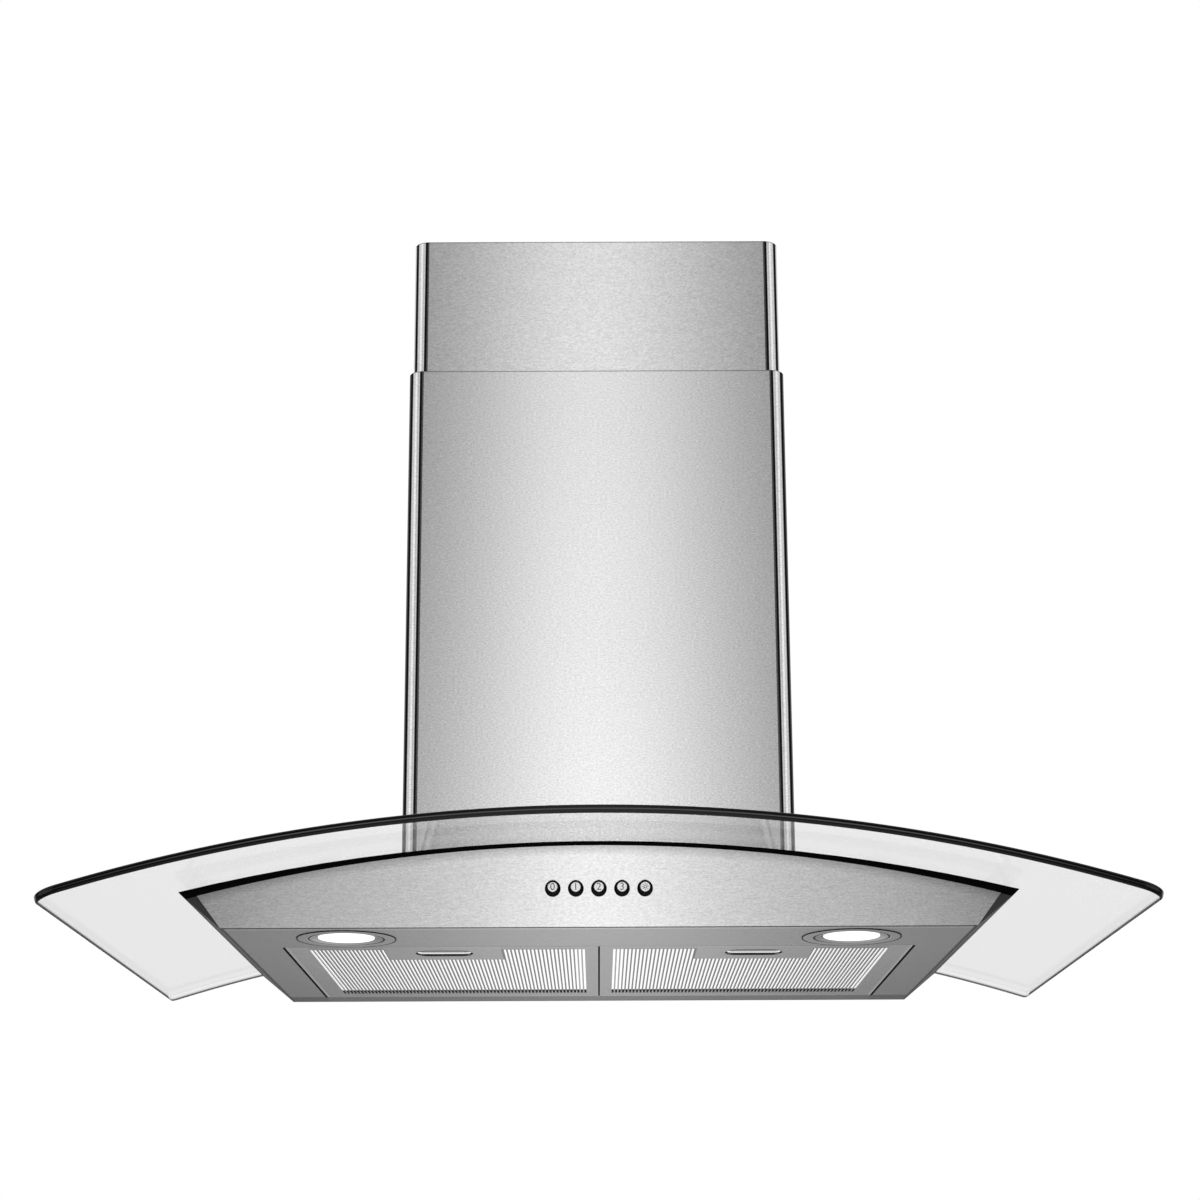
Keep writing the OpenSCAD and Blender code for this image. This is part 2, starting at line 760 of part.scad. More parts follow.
// Pleated layer of expanded aluminium behind the slots
module filter_mesh(s) {
    inset = filter_t + seat;
    pleats = floor((filter_w - 2 * inset) / pleat_pitch);
    half = (filter_w - 2 * inset) / (2 * pleats);
    low = filter_t + seat;
    high = filter_h - 0.6 - pleat_t;
    edge = [for (i = [0:2 * pleats]) [inset + i * half, i % 2 == 0 ? low : high]];
    color([0.88, 0.88, 0.88]) at_filter(s) difference() {
        translate([0, -filter_rear - inset, 0]) rotate([90, 0, 0])
            linear_extrude(height = filter_front - filter_rear - 2 * inset)
                polygon(concat(edge, [for (i = [2 * pleats:-1:0]) edge[i] + [0, pleat_t]]));
        translate([plate_x0 - seat, -filter_front, 0])
            cube([latch_plate_w + 2 * seat, filter_front - plate_rear + seat, 20]);
    }
}
// Latch: a finger cup that slides on the frame, and a tongue through the front wall
module filter_latch(s) {
    cup_y = latch_front + latch_body_d / 2;
    slide_z = filter_t + clear;
    color([0.66, 0.66, 0.67]) at_filter(s) translate([latch_mid_x, -filter_front, 0]) {
        difference() {
            union() {
                translate([0, cup_y, 0.4]) linear_extrude(height = cup_top - 0.4)
                    rounded(latch_body_w, latch_body_d, latch_body_d / 2 - 1);
                for (x = [-1, 1]) translate([x * (latch_body_w / 2 + 1) - 3, cup_y - 4, slide_z]) cube([6, 8, 1.5]);
                translate([-tongue_w / 2, -tongue_out, tongue_z])
                    cube([tongue_w, tongue_out + latch_front + 2, tongue_t]);
            }
            translate([0, cup_y, 0]) linear_extrude(height = cup_top - cup_wall)
                rounded(latch_body_w - 2 * cup_wall, latch_body_d - 2 * cup_wall, latch_body_d / 2 - 1 - cup_wall);
        }
        translate([0, latch_front + latch_body_d - 0.6, tongue_z]) rotate([-90, 0, 0]) cylinder(r = 1.4, h = 5);
    }
}
module latch_spring(s) {
    color("silver") at_filter(s)
        translate([latch_mid_x, -filter_front + latch_front + latch_body_d + 0.1, tongue_z]) rotate([-90, 0, 0])
            spring(2.4, latch_spring_l, 9, latch_wire_r);
}
module filter_frame_left() { filter_frame(-1); }
module filter_frame_right() { filter_frame(1); }
module filter_mesh_left() { filter_mesh(-1); }
module filter_mesh_right() { filter_mesh(1); }
module filter_latch_left() { filter_latch(-1); }
module filter_latch_right() { filter_latch(1); }
module latch_spring_left() { latch_spring(-1); }
module latch_spring_right() { latch_spring(1); }

// Rail above the meeting edges of the filters
module filter_rail() {
    color([0.6, 0.6, 0.61]) {
        block(rail_w, open_rear + seat, open_front - seat, filter_h + clear, filter_h + clear + sheet_t);
        block(sheet_t, open_rear + seat, open_front - seat, filter_h + clear, filter_h + clear + rail_h);
    }
}

// Chimney: an open shell with rounded front corners and returns at the wall
module shell_outline(x, y, r, rear) {
    translate([-x, -y + r]) square([2 * x, y - r - rear]);
    translate([-x + r, -y]) square([2 * x - 2 * r, r]);
    for (s = [-1, 1]) translate([s * (x - r), -y + r]) circle(r);
}
module chimney_shell(x, y, rear, back_return, z0, z1) {
    translate([0, 0, z0]) linear_extrude(height = z1 - z0) {
        difference() {
            shell_outline(x, y, chimney_r, rear);
            shell_outline(x - chimney_t, y - chimney_t, chimney_r - chimney_t, rear + chimney_t);
            translate([-x + back_return, -rear - 2 * chimney_t]) square([2 * (x - back_return), 4 * chimney_t]);
        }
    }
}
module lower_chimney() {
    color([0.75, 0.75, 0.76]) difference() {
        chimney_shell(lower_x, chimney_d, 0, chimney_return, glass_h - 20, chimney_top);
        bend(glass_top_r + clear);
        for (s = [-1, 1]) translate([s * lower_x, -tie_y, tie_z + tie_h / 2]) rotate([0, 90, 0])
            cylinder(r = small_screw_r + running, h = 10, center = true);
    }
}
// Ties that join the lower chimney to the blower box
module lower_chimney_ties() {
    tie_t = 1.5;
    out_x = lower_x - chimney_t - seat;
    in_x = box_w / 2 + seat;
    color([0.6, 0.6, 0.61]) for (s = [0, 1]) mirror([s, 0, 0]) difference() {
        union() {
            translate([in_x, -tie_y - tie_w / 2, tie_z]) cube([tie_t, tie_w, tie_h]);
            translate([in_x, -tie_y - tie_w / 2, tie_z]) cube([out_x - in_x, tie_w, tie_t]);
            translate([out_x - tie_t, -tie_y - tie_w / 2, tie_z]) cube([tie_t, tie_w, tie_h]);
        }
        translate([in_x - cut, -tie_y, tie_z + tie_h / 2]) rotate([0, 90, 0])
            cylinder(r = small_screw_r + running, h = 60);
    }
}
module small_screw(l) {
    cylinder(r = small_head_r, h = small_head_t);
    translate([0, 0, -l]) cylinder(r = small_screw_r, h = l + 0.5);
}
module lower_chimney_screws() {
    color("silver") for (s = [0, 1]) mirror([s, 0, 0])
        translate([lower_x + seat, -tie_y, tie_z + tie_h / 2]) rotate([0, 90, 0]) small_screw(6);
}
module upper_chimney() {
    color([0.75, 0.75, 0.76]) difference() {
        chimney_shell(upper_x, upper_y, upper_rear, chimney_return - chimney_step, upper_bottom, hood_top);
        for (s = [-1, 1]) translate([s * upper_x, -bracket_screw_y, bracket_z + bracket_h / 2]) rotate([0, 90, 0])
            cylinder(r = small_screw_r + running, h = 10, center = true);
    }
}
// Wall bracket, folded so that it passes inside the chimney's returns
module upper_chimney_bracket() {
    ear_x = bracket_x - seat;
    knee_x = upper_x - chimney_return - 12;
    knee_y = upper_rear + chimney_t + 1;
    color([0.6, 0.6, 0.61]) difference() {
        union() {
            block(2 * knee_x, 0, bracket_t, bracket_z, bracket_z + bracket_h);
            for (s = [0, 1]) mirror([s, 0, 0]) {
                translate([knee_x - bracket_t, -knee_y - bracket_t, bracket_z])
                    cube([bracket_t, knee_y + bracket_t, bracket_h]);
                translate([knee_x - bracket_t, -knee_y - bracket_t, bracket_z])
                    cube([ear_x - knee_x + bracket_t, bracket_t, bracket_h]);
                translate([ear_x - bracket_t, -bracket_ear, bracket_z])
                    cube([bracket_t, bracket_ear - knee_y, bracket_h]);
            }
        }
        for (s = [-1, 1]) {
            translate([s * bracket_dx / 2, 0, bracket_z + bracket_h / 2]) rotate([90, 0, 0])
                cylinder(r = wall_hole_r, h = 10, center = true);
            translate([s * ear_x, -bracket_screw_y, bracket_z + bracket_h / 2]) rotate([0, 90, 0])
                cylinder(r = small_screw_r + running, h = 10, center = true);
        }
    }
}
module upper_chimney_screws() {
    color("silver") for (s = [0, 1]) mirror([s, 0, 0])
        translate([upper_x + seat, -bracket_screw_y, bracket_z + bracket_h / 2]) rotate([0, 90, 0]) {
            cylinder(r = small_head_r, h = 1.2);
            translate([0, 0, -5]) cylinder(r = small_screw_r, h = 5.5);
        }
}

// Blower box: open in front and below, seated on the deck by a flange
module blower_box() {
    flange = 9;
    color([0.7, 0.7, 0.7]) difference() {
        union() {
            difference() {
                block(box_w, box_rear, box_front, 20, box_top);
                block(box_w - 2 * box_t, box_rear + box_t, box_front + cut, 0, box_top - box_t);
            }
            block(box_w, box_front - box_t, box_front, 20, cover_z);
            difference() {
                intersection() {
                    block(box_w + 2 * flange, box_rear, box_front + 5, 0, reach);
                    bend(body_top_r + seat + box_t);
                }
                block(box_w - 2 * box_t, box_rear + box_t, box_front - box_t, 0, reach);
            }
        }
        bend(body_top_r + seat);
        translate([0, -collar_y, box_top - 5]) cylinder(r = flap_r, h = 10);
        for (s = [-1, 1]) translate([s * box_w / 2, -tie_y, tie_z + tie_h / 2]) rotate([0, 90, 0])
            cylinder(r = small_screw_r + running, h = 10, center = true);
        translate([-box_w / 2, -lead_hole_y, control_z + 30]) rotate([0, 90, 0])
            cylinder(r = 2 * lead_r, h = 10, center = true);
        translate([-lead_hole_x, -lead_hole_y, 0]) cylinder(r = 2 * lead_r, h = 100);
    }
}
function cover_screw_z() = [cover_z + 10, (cover_z + box_top) / 2, box_top - 10];
module at_cover_screws() {
    for (s = [-1, 1]) for (z = cover_screw_z())
        translate([s * (box_w / 2 - 6), -box_front - cover_t - seat, z]) rotate([90, 0, 0]) children();
}
module blower_cover() {
    color([0.7, 0.7, 0.7]) difference() {
        union() {
            block(box_w, box_front + seat, box_front + seat + cover_t, cover_z - 4, box_top);
            // Inner ears that hold the cover to the sides of the box
            for (s = [0, 1]) mirror([s, 0, 0]) translate([box_w / 2 - box_t - seat - cover_t, -box_front - seat, cover_z + 2])
                cube([cover_t, cover_ear, box_top - cover_z - 6]);
        }
        at_cover_screws() cylinder(r = small_screw_r + running, h = 10, center = true);
    }
}
module cover_screws() {
    color("silver") at_cover_screws() translate([0, 0, seat]) small_screw(3);
}
module intake_guard() {
    w = 2 * intake_x + 2 * guard_rim;
    near = intake_rear - guard_rim;
    far = intake_front + guard_rim;
    z0 = bend_z + sqrt(deck_under_r * deck_under_r - w * w / 4) - seat - 3;
    bars = floor((w / 2 - 6) / guard_pitch);
    color([0.15, 0.15, 0.15]) {
        difference() {
            block(w, near, far, z0, z0 + 3);
            block(w - 8, near + 4, far - 4, 0, reach);
        }
        for (i = [-bars:bars]) translate([i * guard_pitch - guard_bar / 2, -far + 2, z0]) cube([guard_bar, far - near - 4, 3]);
        for (k = [1:3]) translate([-w / 2 + 2, -near - k * (far - near) / 4, z0]) cube([w - 4, guard_bar, 2]);
    }
}

// Outline of the scroll in the Y-Z plane, enlarged by its wall
function spiral_r(a, wall) = fan_r + scroll_gap + scroll_growth * (a - spiral_start) / (180 - spiral_start) + wall;
function spiral_points(wall) = [for (a = [spiral_start:10:180])
    [-fan_y + spiral_r(a, wall) * cos(a), fan_z - spiral_r(a, wall) * sin(a)]];
module scroll_outline(wall) {
    front = -fan_y - spiral_r(180, wall);
    tongue = -fan_y + spiral_r(spiral_start, wall) * cos(spiral_start);
    polygon(concat(spiral_points(wall), [[front, throat_z + (wall > 0 ? 0 : cut)], [tongue, throat_z + (wall > 0 ? 0 : cut)]]));
}
// Children of a Y-Z drawing are extruded along X, centred
module along_x(w) {
    rotate([90, 0, 90]) translate([0, 0, -w / 2]) linear_extrude(height = w) children();
}
module at_fan() {
    translate([0, -fan_y, fan_z]) rotate([0, 90, 0]) children();
}
module scroll_housing() {
    color([0.2, 0.2, 0.22]) difference() {
        along_x(2 * scroll_x) scroll_outline(scroll_t);
        along_x(scroll_w) scroll_outline(0);
        at_fan() cylinder(r = inlet_r, h = 3 * scroll_x, center = true);
        at_mount_screws() cylinder(r = small_screw_r + running, h = 20, center = true);
    }
}
module at_mount_screws() {
    for (a = [30, 150, 270]) translate([scroll_x, -fan_y, fan_z]) rotate([a, 0, 0])
        translate([0, 0, mount_r]) rotate([0, 90, 0]) children();
}
module impeller() {
    color([0.3, 0.3, 0.32]) at_fan() {
        for (z = [-fan_w / 2, fan_w / 2 - ring_w]) translate([0, 0, z]) difference() {
            cylinder(r = fan_r, h = ring_w);
            translate([0, 0, -cut]) cylinder(r = fan_r - blade_d, h = ring_w + 2 * cut);
        }
        difference() {
            union() {
                translate([0, 0, -4]) cylinder(r = fan_r, h = 2);
                translate([0, 0, -hub_r]) cylinder(r = hub_r, h = hub_r + motor_x - 4);
            }
            translate([0, 0, -50]) cylinder(r = shaft_r, h = 100);
        }
        for (i = [0:blade_count - 1]) rotate([0, 0, 360 * i / blade_count])
            translate([fan_r - blade_d + 0.2, -blade_t / 2, 1 - fan_w / 2]) rotate([0, 0, 12])
                cube([blade_d - 0.8, blade_t, fan_w - 2]);
    }
}
module motor_shaft() {
    color("silver") at_fan() translate([0, 0, -hub_r - 6]) cylinder(r = shaft_r, h = hub_r + 6 + motor_x + motor_l + 4);
}
module motor() {
    color([0.35, 0.36, 0.38]) at_fan() difference() {
        union() {
            translate([0, 0, motor_x]) cylinder(r = motor_r - 4, h = motor_l);
            translate([0, 0, motor_x + 6]) cylinder(r = motor_r, h = motor_l - 12);
            translate([0, 0, motor_x - 3]) cylinder(r = 10, h = 4);
        }
        translate([0, 0, motor_x - 5]) cylinder(r = shaft_r + running, h = motor_l + 20);
    }
}
// Ring behind the motor with three legs to the side of the scroll
module motor_mount() {
    color([0.5, 0.5, 0.52]) difference() {
        union() {
            at_fan() translate([0, 0, motor_x + motor_l + seat]) cylinder(r = motor_r - 4, h = mount_ring_t);
            for (a = [30, 150, 270]) translate([0, -fan_y, fan_z]) rotate([a, 0, 0]) {
                translate([motor_x + motor_l + seat, -6, motor_r - 10])
                    cube([mount_ring_t, 12, mount_r + leg_out - motor_r + 13]);
                translate([scroll_x + seat, -6, mount_r + leg_out])
                    cube([motor_x + motor_l - scroll_x + mount_ring_t, 12, 3]);
                translate([scroll_x + seat, -6, mount_r - 5]) cube([2, 12, leg_out + 6]);
            }
        }
        at_fan() translate([0, 0, motor_x + motor_l - 5]) cylinder(r = 14, h = 20);
        at_mount_screws() cylinder(r = small_screw_r + running, h = 10, center = true);
    }
}
module motor_screws() {
    color("silver") at_mount_screws() translate([0, 0, 2 + 2 * seat]) small_screw(5);
}
module capacitor() {
    color([0.85, 0.85, 0.82]) translate([-box_w / 2 + box_t + 19, -box_front + 24, 200]) {
        cylinder(r = 15, h = 60);
        translate([-19 + seat, -6, 20]) cube([8, 12, 20]);
        for (x = [-5, 5]) translate([x - 0.5, -3, 59]) cube([1, 6, 9]);
    }
}

// Duct adapter: flange, collar and the lip under the damper flaps
module duct_adapter() {
    inner_r = collar_r - collar_t;
    color([0.16, 0.16, 0.17]) translate([0, -collar_y, collar_z + seat]) difference() {
        union() {
            translate([-adapter_w / 2, -adapter_w / 2, 0]) cube([adapter_w, adapter_w, flange_plate_t]);
            cylinder(r = collar_r, h = flange_plate_t + collar_h);
        }
        translate([0, 0, -cut]) cylinder(r = inner_r - lip_w, h = collar_h + 10);
        translate([0, 0, rod_z - collar_z - flap_t / 2 - clear - seat]) cylinder(r = inner_r, h = collar_h);
        translate([0, 0, -cut]) cylinder(r = inner_r, h = rod_z - collar_z - flap_t / 2 - clear - seat - 2 + cut);
        translate([0, 0, rod_z - collar_z - seat]) rotate([0, 90, 0])
            cylinder(r = rod_r, h = 4 * collar_r, center = true);
    }
}
module at_rod() {
    translate([0, -collar_y, rod_z]) rotate([0, 90, 0]) children();
}
module damper_rod() {
    color("silver") at_rod() cylinder(r = rod_r, h = 2 * collar_r, center = true);
}
// Half round flap with its knuckles on the rod; s is -1 in front of the rod and 1 behind it
module damper_flap(s, knuckles) {
    inner = knuckle_r + 1;
    color([0.7, 0.7, 0.71]) difference() {
        union() {
            intersection() {
                translate([0, -collar_y, rod_z - flap_t / 2]) cylinder(r = flap_r, h = flap_t);
                translate([-reach / 2, -collar_y + (s > 0 ? inner : -inner - reach), 0]) cube([reach, reach, reach]);
            }
            for (k = knuckles) {
                translate([k[0], -collar_y, rod_z]) rotate([0, 90, 0]) cylinder(r = knuckle_r, h = k[1]);
                translate([k[0], -collar_y + (s > 0 ? 0 : -inner - cut), rod_z - flap_t / 2])
                    cube([k[1], inner + cut, flap_t]);
            }
        }
        at_rod() cylinder(r = rod_r + running, h = 3 * collar_r, center = true);
    }
}
module damper_flap_front() {
    damper_flap(-1, [[-knuckle_half - knuckle_l - clear, knuckle_l], [knuckle_half + clear, knuckle_l]]);
}
module damper_flap_rear() {
    damper_flap(1, [[-knuckle_half, 2 * knuckle_half]]);
}

// Control box on the side of the blower box, with its terminal block and cable gland
module control_box() {
    color([0.13, 0.13, 0.14]) difference() {
        translate([control_x - control_w, -control_y, control_z]) cube([control_w, control_l, control_h]);
        translate([control_x - control_w + control_t, -control_y + control_t, control_z + control_t])
            cube([control_w - 2 * control_t, control_l - 2 * control_t, control_h - 2 * control_t]);
        gland_place() cylinder(r = gland_r + 1.6, h = 20, center = true);
        translate([-lead_hole_x, -lead_hole_y, control_z]) cylinder(r = lead_r + 0.5, h = 10, center = true);
        translate([control_x, -lead_hole_y, control_z + 30]) rotate([0, 90, 0])
            cylinder(r = 2 * lead_r, h = 10, center = true);
    }
}
module gland_place() {
    translate([control_x - control_w / 2, -control_y + control_l - 20, control_z + control_h]) children();
}
module cable_gland() {
    color([0.08, 0.08, 0.08]) gland_place() difference() {
        union() {
            translate([0, 0, seat]) cylinder(r = gland_nut_r, h = 6);
            translate([0, 0, 6]) cylinder(r = gland_nut_r - 1.5, h = 8);
            translate([0, 0, -8]) cylinder(r = gland_r + 1.5, h = 10);
        }
        translate([0, 0, -10]) cylinder(r = gland_r, h = 30);
    }
}
module terminal_block() {
    block_z = control_z + 50;
    color([0.9, 0.9, 0.88]) difference() {
        translate([control_x - control_w + control_t + seat, -control_y + 40, block_z]) cube([14, 36, 16]);
        for (k = [0:2]) translate([control_x - control_w + control_t + 7, -control_y + 46 + 12 * k, block_z + 8])
            cylinder(r = 2, h = 20);
    }
}

// Leads: straight runs with round corners, from the control box to the switches and lamps
module run(points) {
    for (i = [0:len(points) - 2]) {
        d = points[i + 1] - points[i];
        l = norm(d);
        translate(points[i]) rotate([0, acos(d[2] / l), atan2(d[1], d[0])]) cylinder(r = lead_r, h = l, $fn = 24);
        if (i > 0) translate(points[i]) sphere(r = lead_r + 0.3, $fn = 24);
    }
}
module internal_leads() {
    z = 34;
    switch_back = switch_y + switch_d + lead_r;
    front = switch_back + 36;
    board_top = board_z + board_t + seat;
    color([0.8, 0.8, 0.8]) {
        run([[-lead_hole_x, -lead_hole_y, control_z + 4], [-lead_hole_x, -lead_hole_y, z],
            [-lead_hole_x, front, z], [-10, front, z], [-10, switch_back, z]]);
        run([[-lamp_x, -lamp_y, board_top], [-lamp_x, -lamp_y, z - 8], [-lead_hole_x - 5, front, z - 8]]);
        run([[lamp_x, -lamp_y, board_top], [lamp_x, -lamp_y, z - 8], [-5, front, z - 8]]);
    }
}

place() glass_canopy();
place() glass_gasket();
place() glass_washers();
place() glass_screws();
place() front_fascia();
place() underside_panel();
place() left_side_panel();
place() right_side_panel();
place() back_panel();
place() top_deck();
place() filter_rail();
place() switch_housing();
place() switch_board();
place() button_springs();
place() button_off();
place() button_low();
place() button_medium();
place() button_high();
place() button_light();
place() lamp_bezel_left();
place() lamp_bezel_right();
place() lamp_lens_left();
place() lamp_lens_right();
place() lamp_reflector_left();
place() lamp_reflector_right();
place() lamp_board_left();
place() lamp_board_right();
place() filter_frame_left();
place() filter_frame_right();
place() filter_mesh_left();
place() filter_mesh_right();
place() filter_latch_left();
place() filter_latch_right();
place() latch_spring_left();
place() latch_spring_right();
place() lower_chimney();
place() lower_chimney_ties();
place() lower_chimney_screws();
place() upper_chimney();
place() upper_chimney_bracket();
place() upper_chimney_screws();
place() blower_box();
place() blower_cover();
place() cover_screws();
place() intake_guard();
place() scroll_housing();
place() impeller();
place() motor_shaft();
place() motor();
place() motor_mount();
place() motor_screws();
place() capacitor();
place() duct_adapter();
place() damper_rod();
place() damper_flap_front();
place() damper_flap_rear();
place() control_box();
place() terminal_block();
place() cable_gland();
place() internal_leads();
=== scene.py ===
# %% [markdown]
# # A wall mount range hood with a bent glass canopy
# The CAD model gives every part its size and place. This lesson gives the parts that show their real
# edges, curves and finishes. Everything is in metres. X runs to the right, Y runs into the wall, and Z
# runs up from the middle of the four wall screws.

# %% The frame
import json
import math

import bpy
from mathutils import Matrix, Vector


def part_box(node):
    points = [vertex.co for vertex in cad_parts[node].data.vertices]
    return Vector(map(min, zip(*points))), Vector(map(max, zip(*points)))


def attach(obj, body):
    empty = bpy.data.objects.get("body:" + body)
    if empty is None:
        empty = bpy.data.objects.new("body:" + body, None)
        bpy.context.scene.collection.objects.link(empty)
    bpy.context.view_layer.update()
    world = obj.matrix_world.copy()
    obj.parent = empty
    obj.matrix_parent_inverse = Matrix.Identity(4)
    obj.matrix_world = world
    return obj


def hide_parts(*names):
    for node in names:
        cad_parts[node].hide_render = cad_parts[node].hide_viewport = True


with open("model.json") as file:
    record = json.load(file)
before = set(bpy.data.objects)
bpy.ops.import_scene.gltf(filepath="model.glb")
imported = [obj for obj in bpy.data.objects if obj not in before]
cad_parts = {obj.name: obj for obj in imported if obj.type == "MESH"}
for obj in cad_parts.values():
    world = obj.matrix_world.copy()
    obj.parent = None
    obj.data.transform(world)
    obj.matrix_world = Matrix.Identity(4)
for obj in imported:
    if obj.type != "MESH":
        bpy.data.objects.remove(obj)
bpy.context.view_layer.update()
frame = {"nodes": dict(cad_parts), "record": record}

scene = bpy.context.scene
for name in ("Cube", "Light", "Camera"):
    if name in bpy.data.objects:
        bpy.data.objects.remove(bpy.data.objects[name])

MM = 0.001
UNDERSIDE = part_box("underside_panel")[0].z
print("underside of the body at", round(UNDERSIDE, 4), "m")


def up(height_mm):
    """Height above the underside, in millimetres, as a place in the frame"""
    return UNDERSIDE + height_mm * MM


# %% [markdown]
# ## The camera
# The hood was seen from the front and from a little below. The camera stands 1.95 m from the wall, below
# the hood, and looks slightly up. The lens is moved up a little instead of turned, as for a picture of a
# building, so that the chimney's sides stay nearly parallel.

# %% Camera
lens_data = bpy.data.cameras.new("camera")
lens_data.lens = 66.0
lens_data.sensor_width = 36.0
lens_data.shift_y = 0.15
lens_data.clip_start = 0.05
camera = bpy.data.objects.new("camera", lens_data)
scene.collection.objects.link(camera)
PITCH, YAW, ROLL = 0.2348, 0.0015, 0.0043
camera.matrix_world = (
    Matrix.Translation((-0.0012, -1.94516, -0.49374))
    @ Matrix.Rotation(-YAW, 4, "Z")
    @ Matrix.Rotation(math.pi / 2 + PITCH, 4, "X")
    @ Matrix.Rotation(-ROLL, 4, "Z")
)
scene.camera = camera
scene.view_settings.view_transform = "Standard"
print("camera at", [round(v, 3) for v in camera.location])

# %% [markdown]
# ## Shader maths in plain Python
# A finish is a small network of nodes. Writing that network by hand is slow, so a socket is wrapped in a
# class whose operators add the Math nodes. The maths then reads like ordinary Python.


# %% Values that change over a surface
def operator(operation, swapped=False):
    """Makes the method that Python calls for +, -, * or /"""

    def method(self, other):
        one, two = (other, self) if swapped else (self, other)
        return self.finish.node("ShaderNodeMath", {"operation": operation}, one, two)

    return method


class Value:
    """A number that changes over the surface"""

    def __init__(self, finish, socket):
        self.finish, self.socket = finish, socket

    def math(self, operation, *others):
        return self.finish.node("ShaderNodeMath", {"operation": operation}, self, *others)

    __add__ = __radd__ = operator("ADD")
    __mul__ = __rmul__ = operator("MULTIPLY")
    __sub__, __rsub__ = operator("SUBTRACT"), operator("SUBTRACT", swapped=True)
    __truediv__, __rtruediv__ = operator("DIVIDE"), operator("DIVIDE", swapped=True)

    def size(self):
        return self.math("ABSOLUTE")

    def between(self, low, high, to_low=0.0, to_high=1.0):
        """to_low up to low, to_high from high on, and a straight slope between the two"""
        return self.finish.node("ShaderNodeMapRange", {}, self, low, high, to_low, to_high)

    def fade(self, low, high, left=0.0):
        """1 up to low, falling to what is left at high"""
        return self.between(low, high, 1.0, left)


# %% [markdown]
# A finish owns its nodes. One method adds any node, and short ones add those that come up again and again.


# %% Finishes
class Finish:
    """A material, or the world, and the nodes in it"""

    def __init__(self, owner, output, shader):
        owner.use_nodes = True
        self.owner, self.tree = owner, owner.node_tree
        self.tree.nodes.clear()
        self.output = self.tree.nodes.new(output)
        self.shader = self.tree.nodes.new(shader)
        self.tree.links.new(self.shader.outputs[0], self.output.inputs[0])

    def set(self, socket, value):
        if isinstance(value, Value):
            self.tree.links.new(value.socket, socket)
        elif socket.type == "RGBA" and len(value) == 3:
            socket.default_value = (*value, 1.0)
        else:
            socket.default_value = value

    def node(self, kind, settings, *inputs, out=0, **named):
        node = self.tree.nodes.new(kind)
        for name, value in settings.items():
            setattr(node, name, value)
        for socket, value in zip(node.inputs, inputs):
            if value is not None:
                self.set(socket, value)
        for name, value in named.items():
            self.set(node.inputs[name.replace("_", " ")], value)
        return Value(self, node.outputs[out])

    def place(self, scale=(1, 1, 1), move=(0, 0, 0)):
        where = self.node("ShaderNodeTexCoord", {}, out="Object")
        return self.node("ShaderNodeMapping", {}, where, move, None, scale)

    def axes(self, where=None):
        """X, Y and Z of a place, by default of the place on the part"""
        node = self.tree.nodes.new("ShaderNodeSeparateXYZ")
        self.set(node.inputs[0], where or self.place())
        return [Value(self, socket) for socket in node.outputs]

    def noise(self, scale, detail=2.0, roughness=0.5, where=None):
        return self.node("ShaderNodeTexNoise", {}, Vector=where or self.place(), Scale=scale,
                         Detail=detail, Roughness=roughness)

    def mix(self, mask, one, two):
        """Colour one where the mask is 0, colour two where it is 1"""
        node = self.tree.nodes.new("ShaderNodeMix")
        node.data_type = "RGBA"
        for index, value in ((0, mask), (6, one), (7, two)):
            self.set(node.inputs[index], value)
        return Value(self, node.outputs[2])

    def scaled(self, colour, factor):
        """The colour, made lighter or darker by the factor"""
        return self.node("ShaderNodeVectorMath", {"operation": "SCALE"}, colour, Scale=factor)

    def bump(self, height, distance):
        return self.node("ShaderNodeBump", {}, Height=height, Distance=distance, Strength=1.0)

    def rays(self, *names):
        """For each kind of ray 1 if that kind asks, and 0 if not"""
        paths = self.tree.nodes.new("ShaderNodeLightPath")
        return [Value(self, paths.outputs[name]) for name in names]

    def layer(self, mask, under, over):
        """One shader where the mask is 0, the other over it where it is 1"""
        both = self.tree.nodes.new("ShaderNodeMixShader")
        self.set(both.inputs[0], mask)
        self.tree.links.new(under.outputs[0], both.inputs[1])
        self.tree.links.new(over.outputs[0], both.inputs[2])
        self.tree.links.new(both.outputs[0], self.output.inputs[0])
        return both

    def shine(self, **values):
        for name, value in values.items():
            self.set(self.shader.inputs[name.replace("_", " ")], value)
        return self.owner


def new_finish(name):
    return Finish(bpy.data.materials.new(name), "ShaderNodeOutputMaterial", "ShaderNodeBsdfPrincipled")


# %% [markdown]
# ## Brushed stainless steel
# The sheets were brushed from side to side with a belt before they were folded. Each stroke leaves a
# shallow groove, a few centimetres long and a fraction of a millimetre wide. Noise that is stretched
# along the stroke gives these grooves. It changes the roughness, the tone and the bump a little.
# Steel looks black where it reflects a black thing, so a painted matt black is laid over the metal as a
# painted dark reflection, and also as painted shade.


# %% Brushed steel
def cover_with_black(finish, under, mask):
    """Lays a painted matt black, for painted shade and dark reflections, over the finish where the mask is
    not zero
    """
    black = finish.tree.nodes.new("ShaderNodeBsdfPrincipled")
    for name, value in (("Base Color", (0.003, 0.003, 0.003)), ("Roughness", 0.6), ("IOR", 1.02)):
        finish.set(black.inputs[name], value)
    finish.layer(mask, under, black)


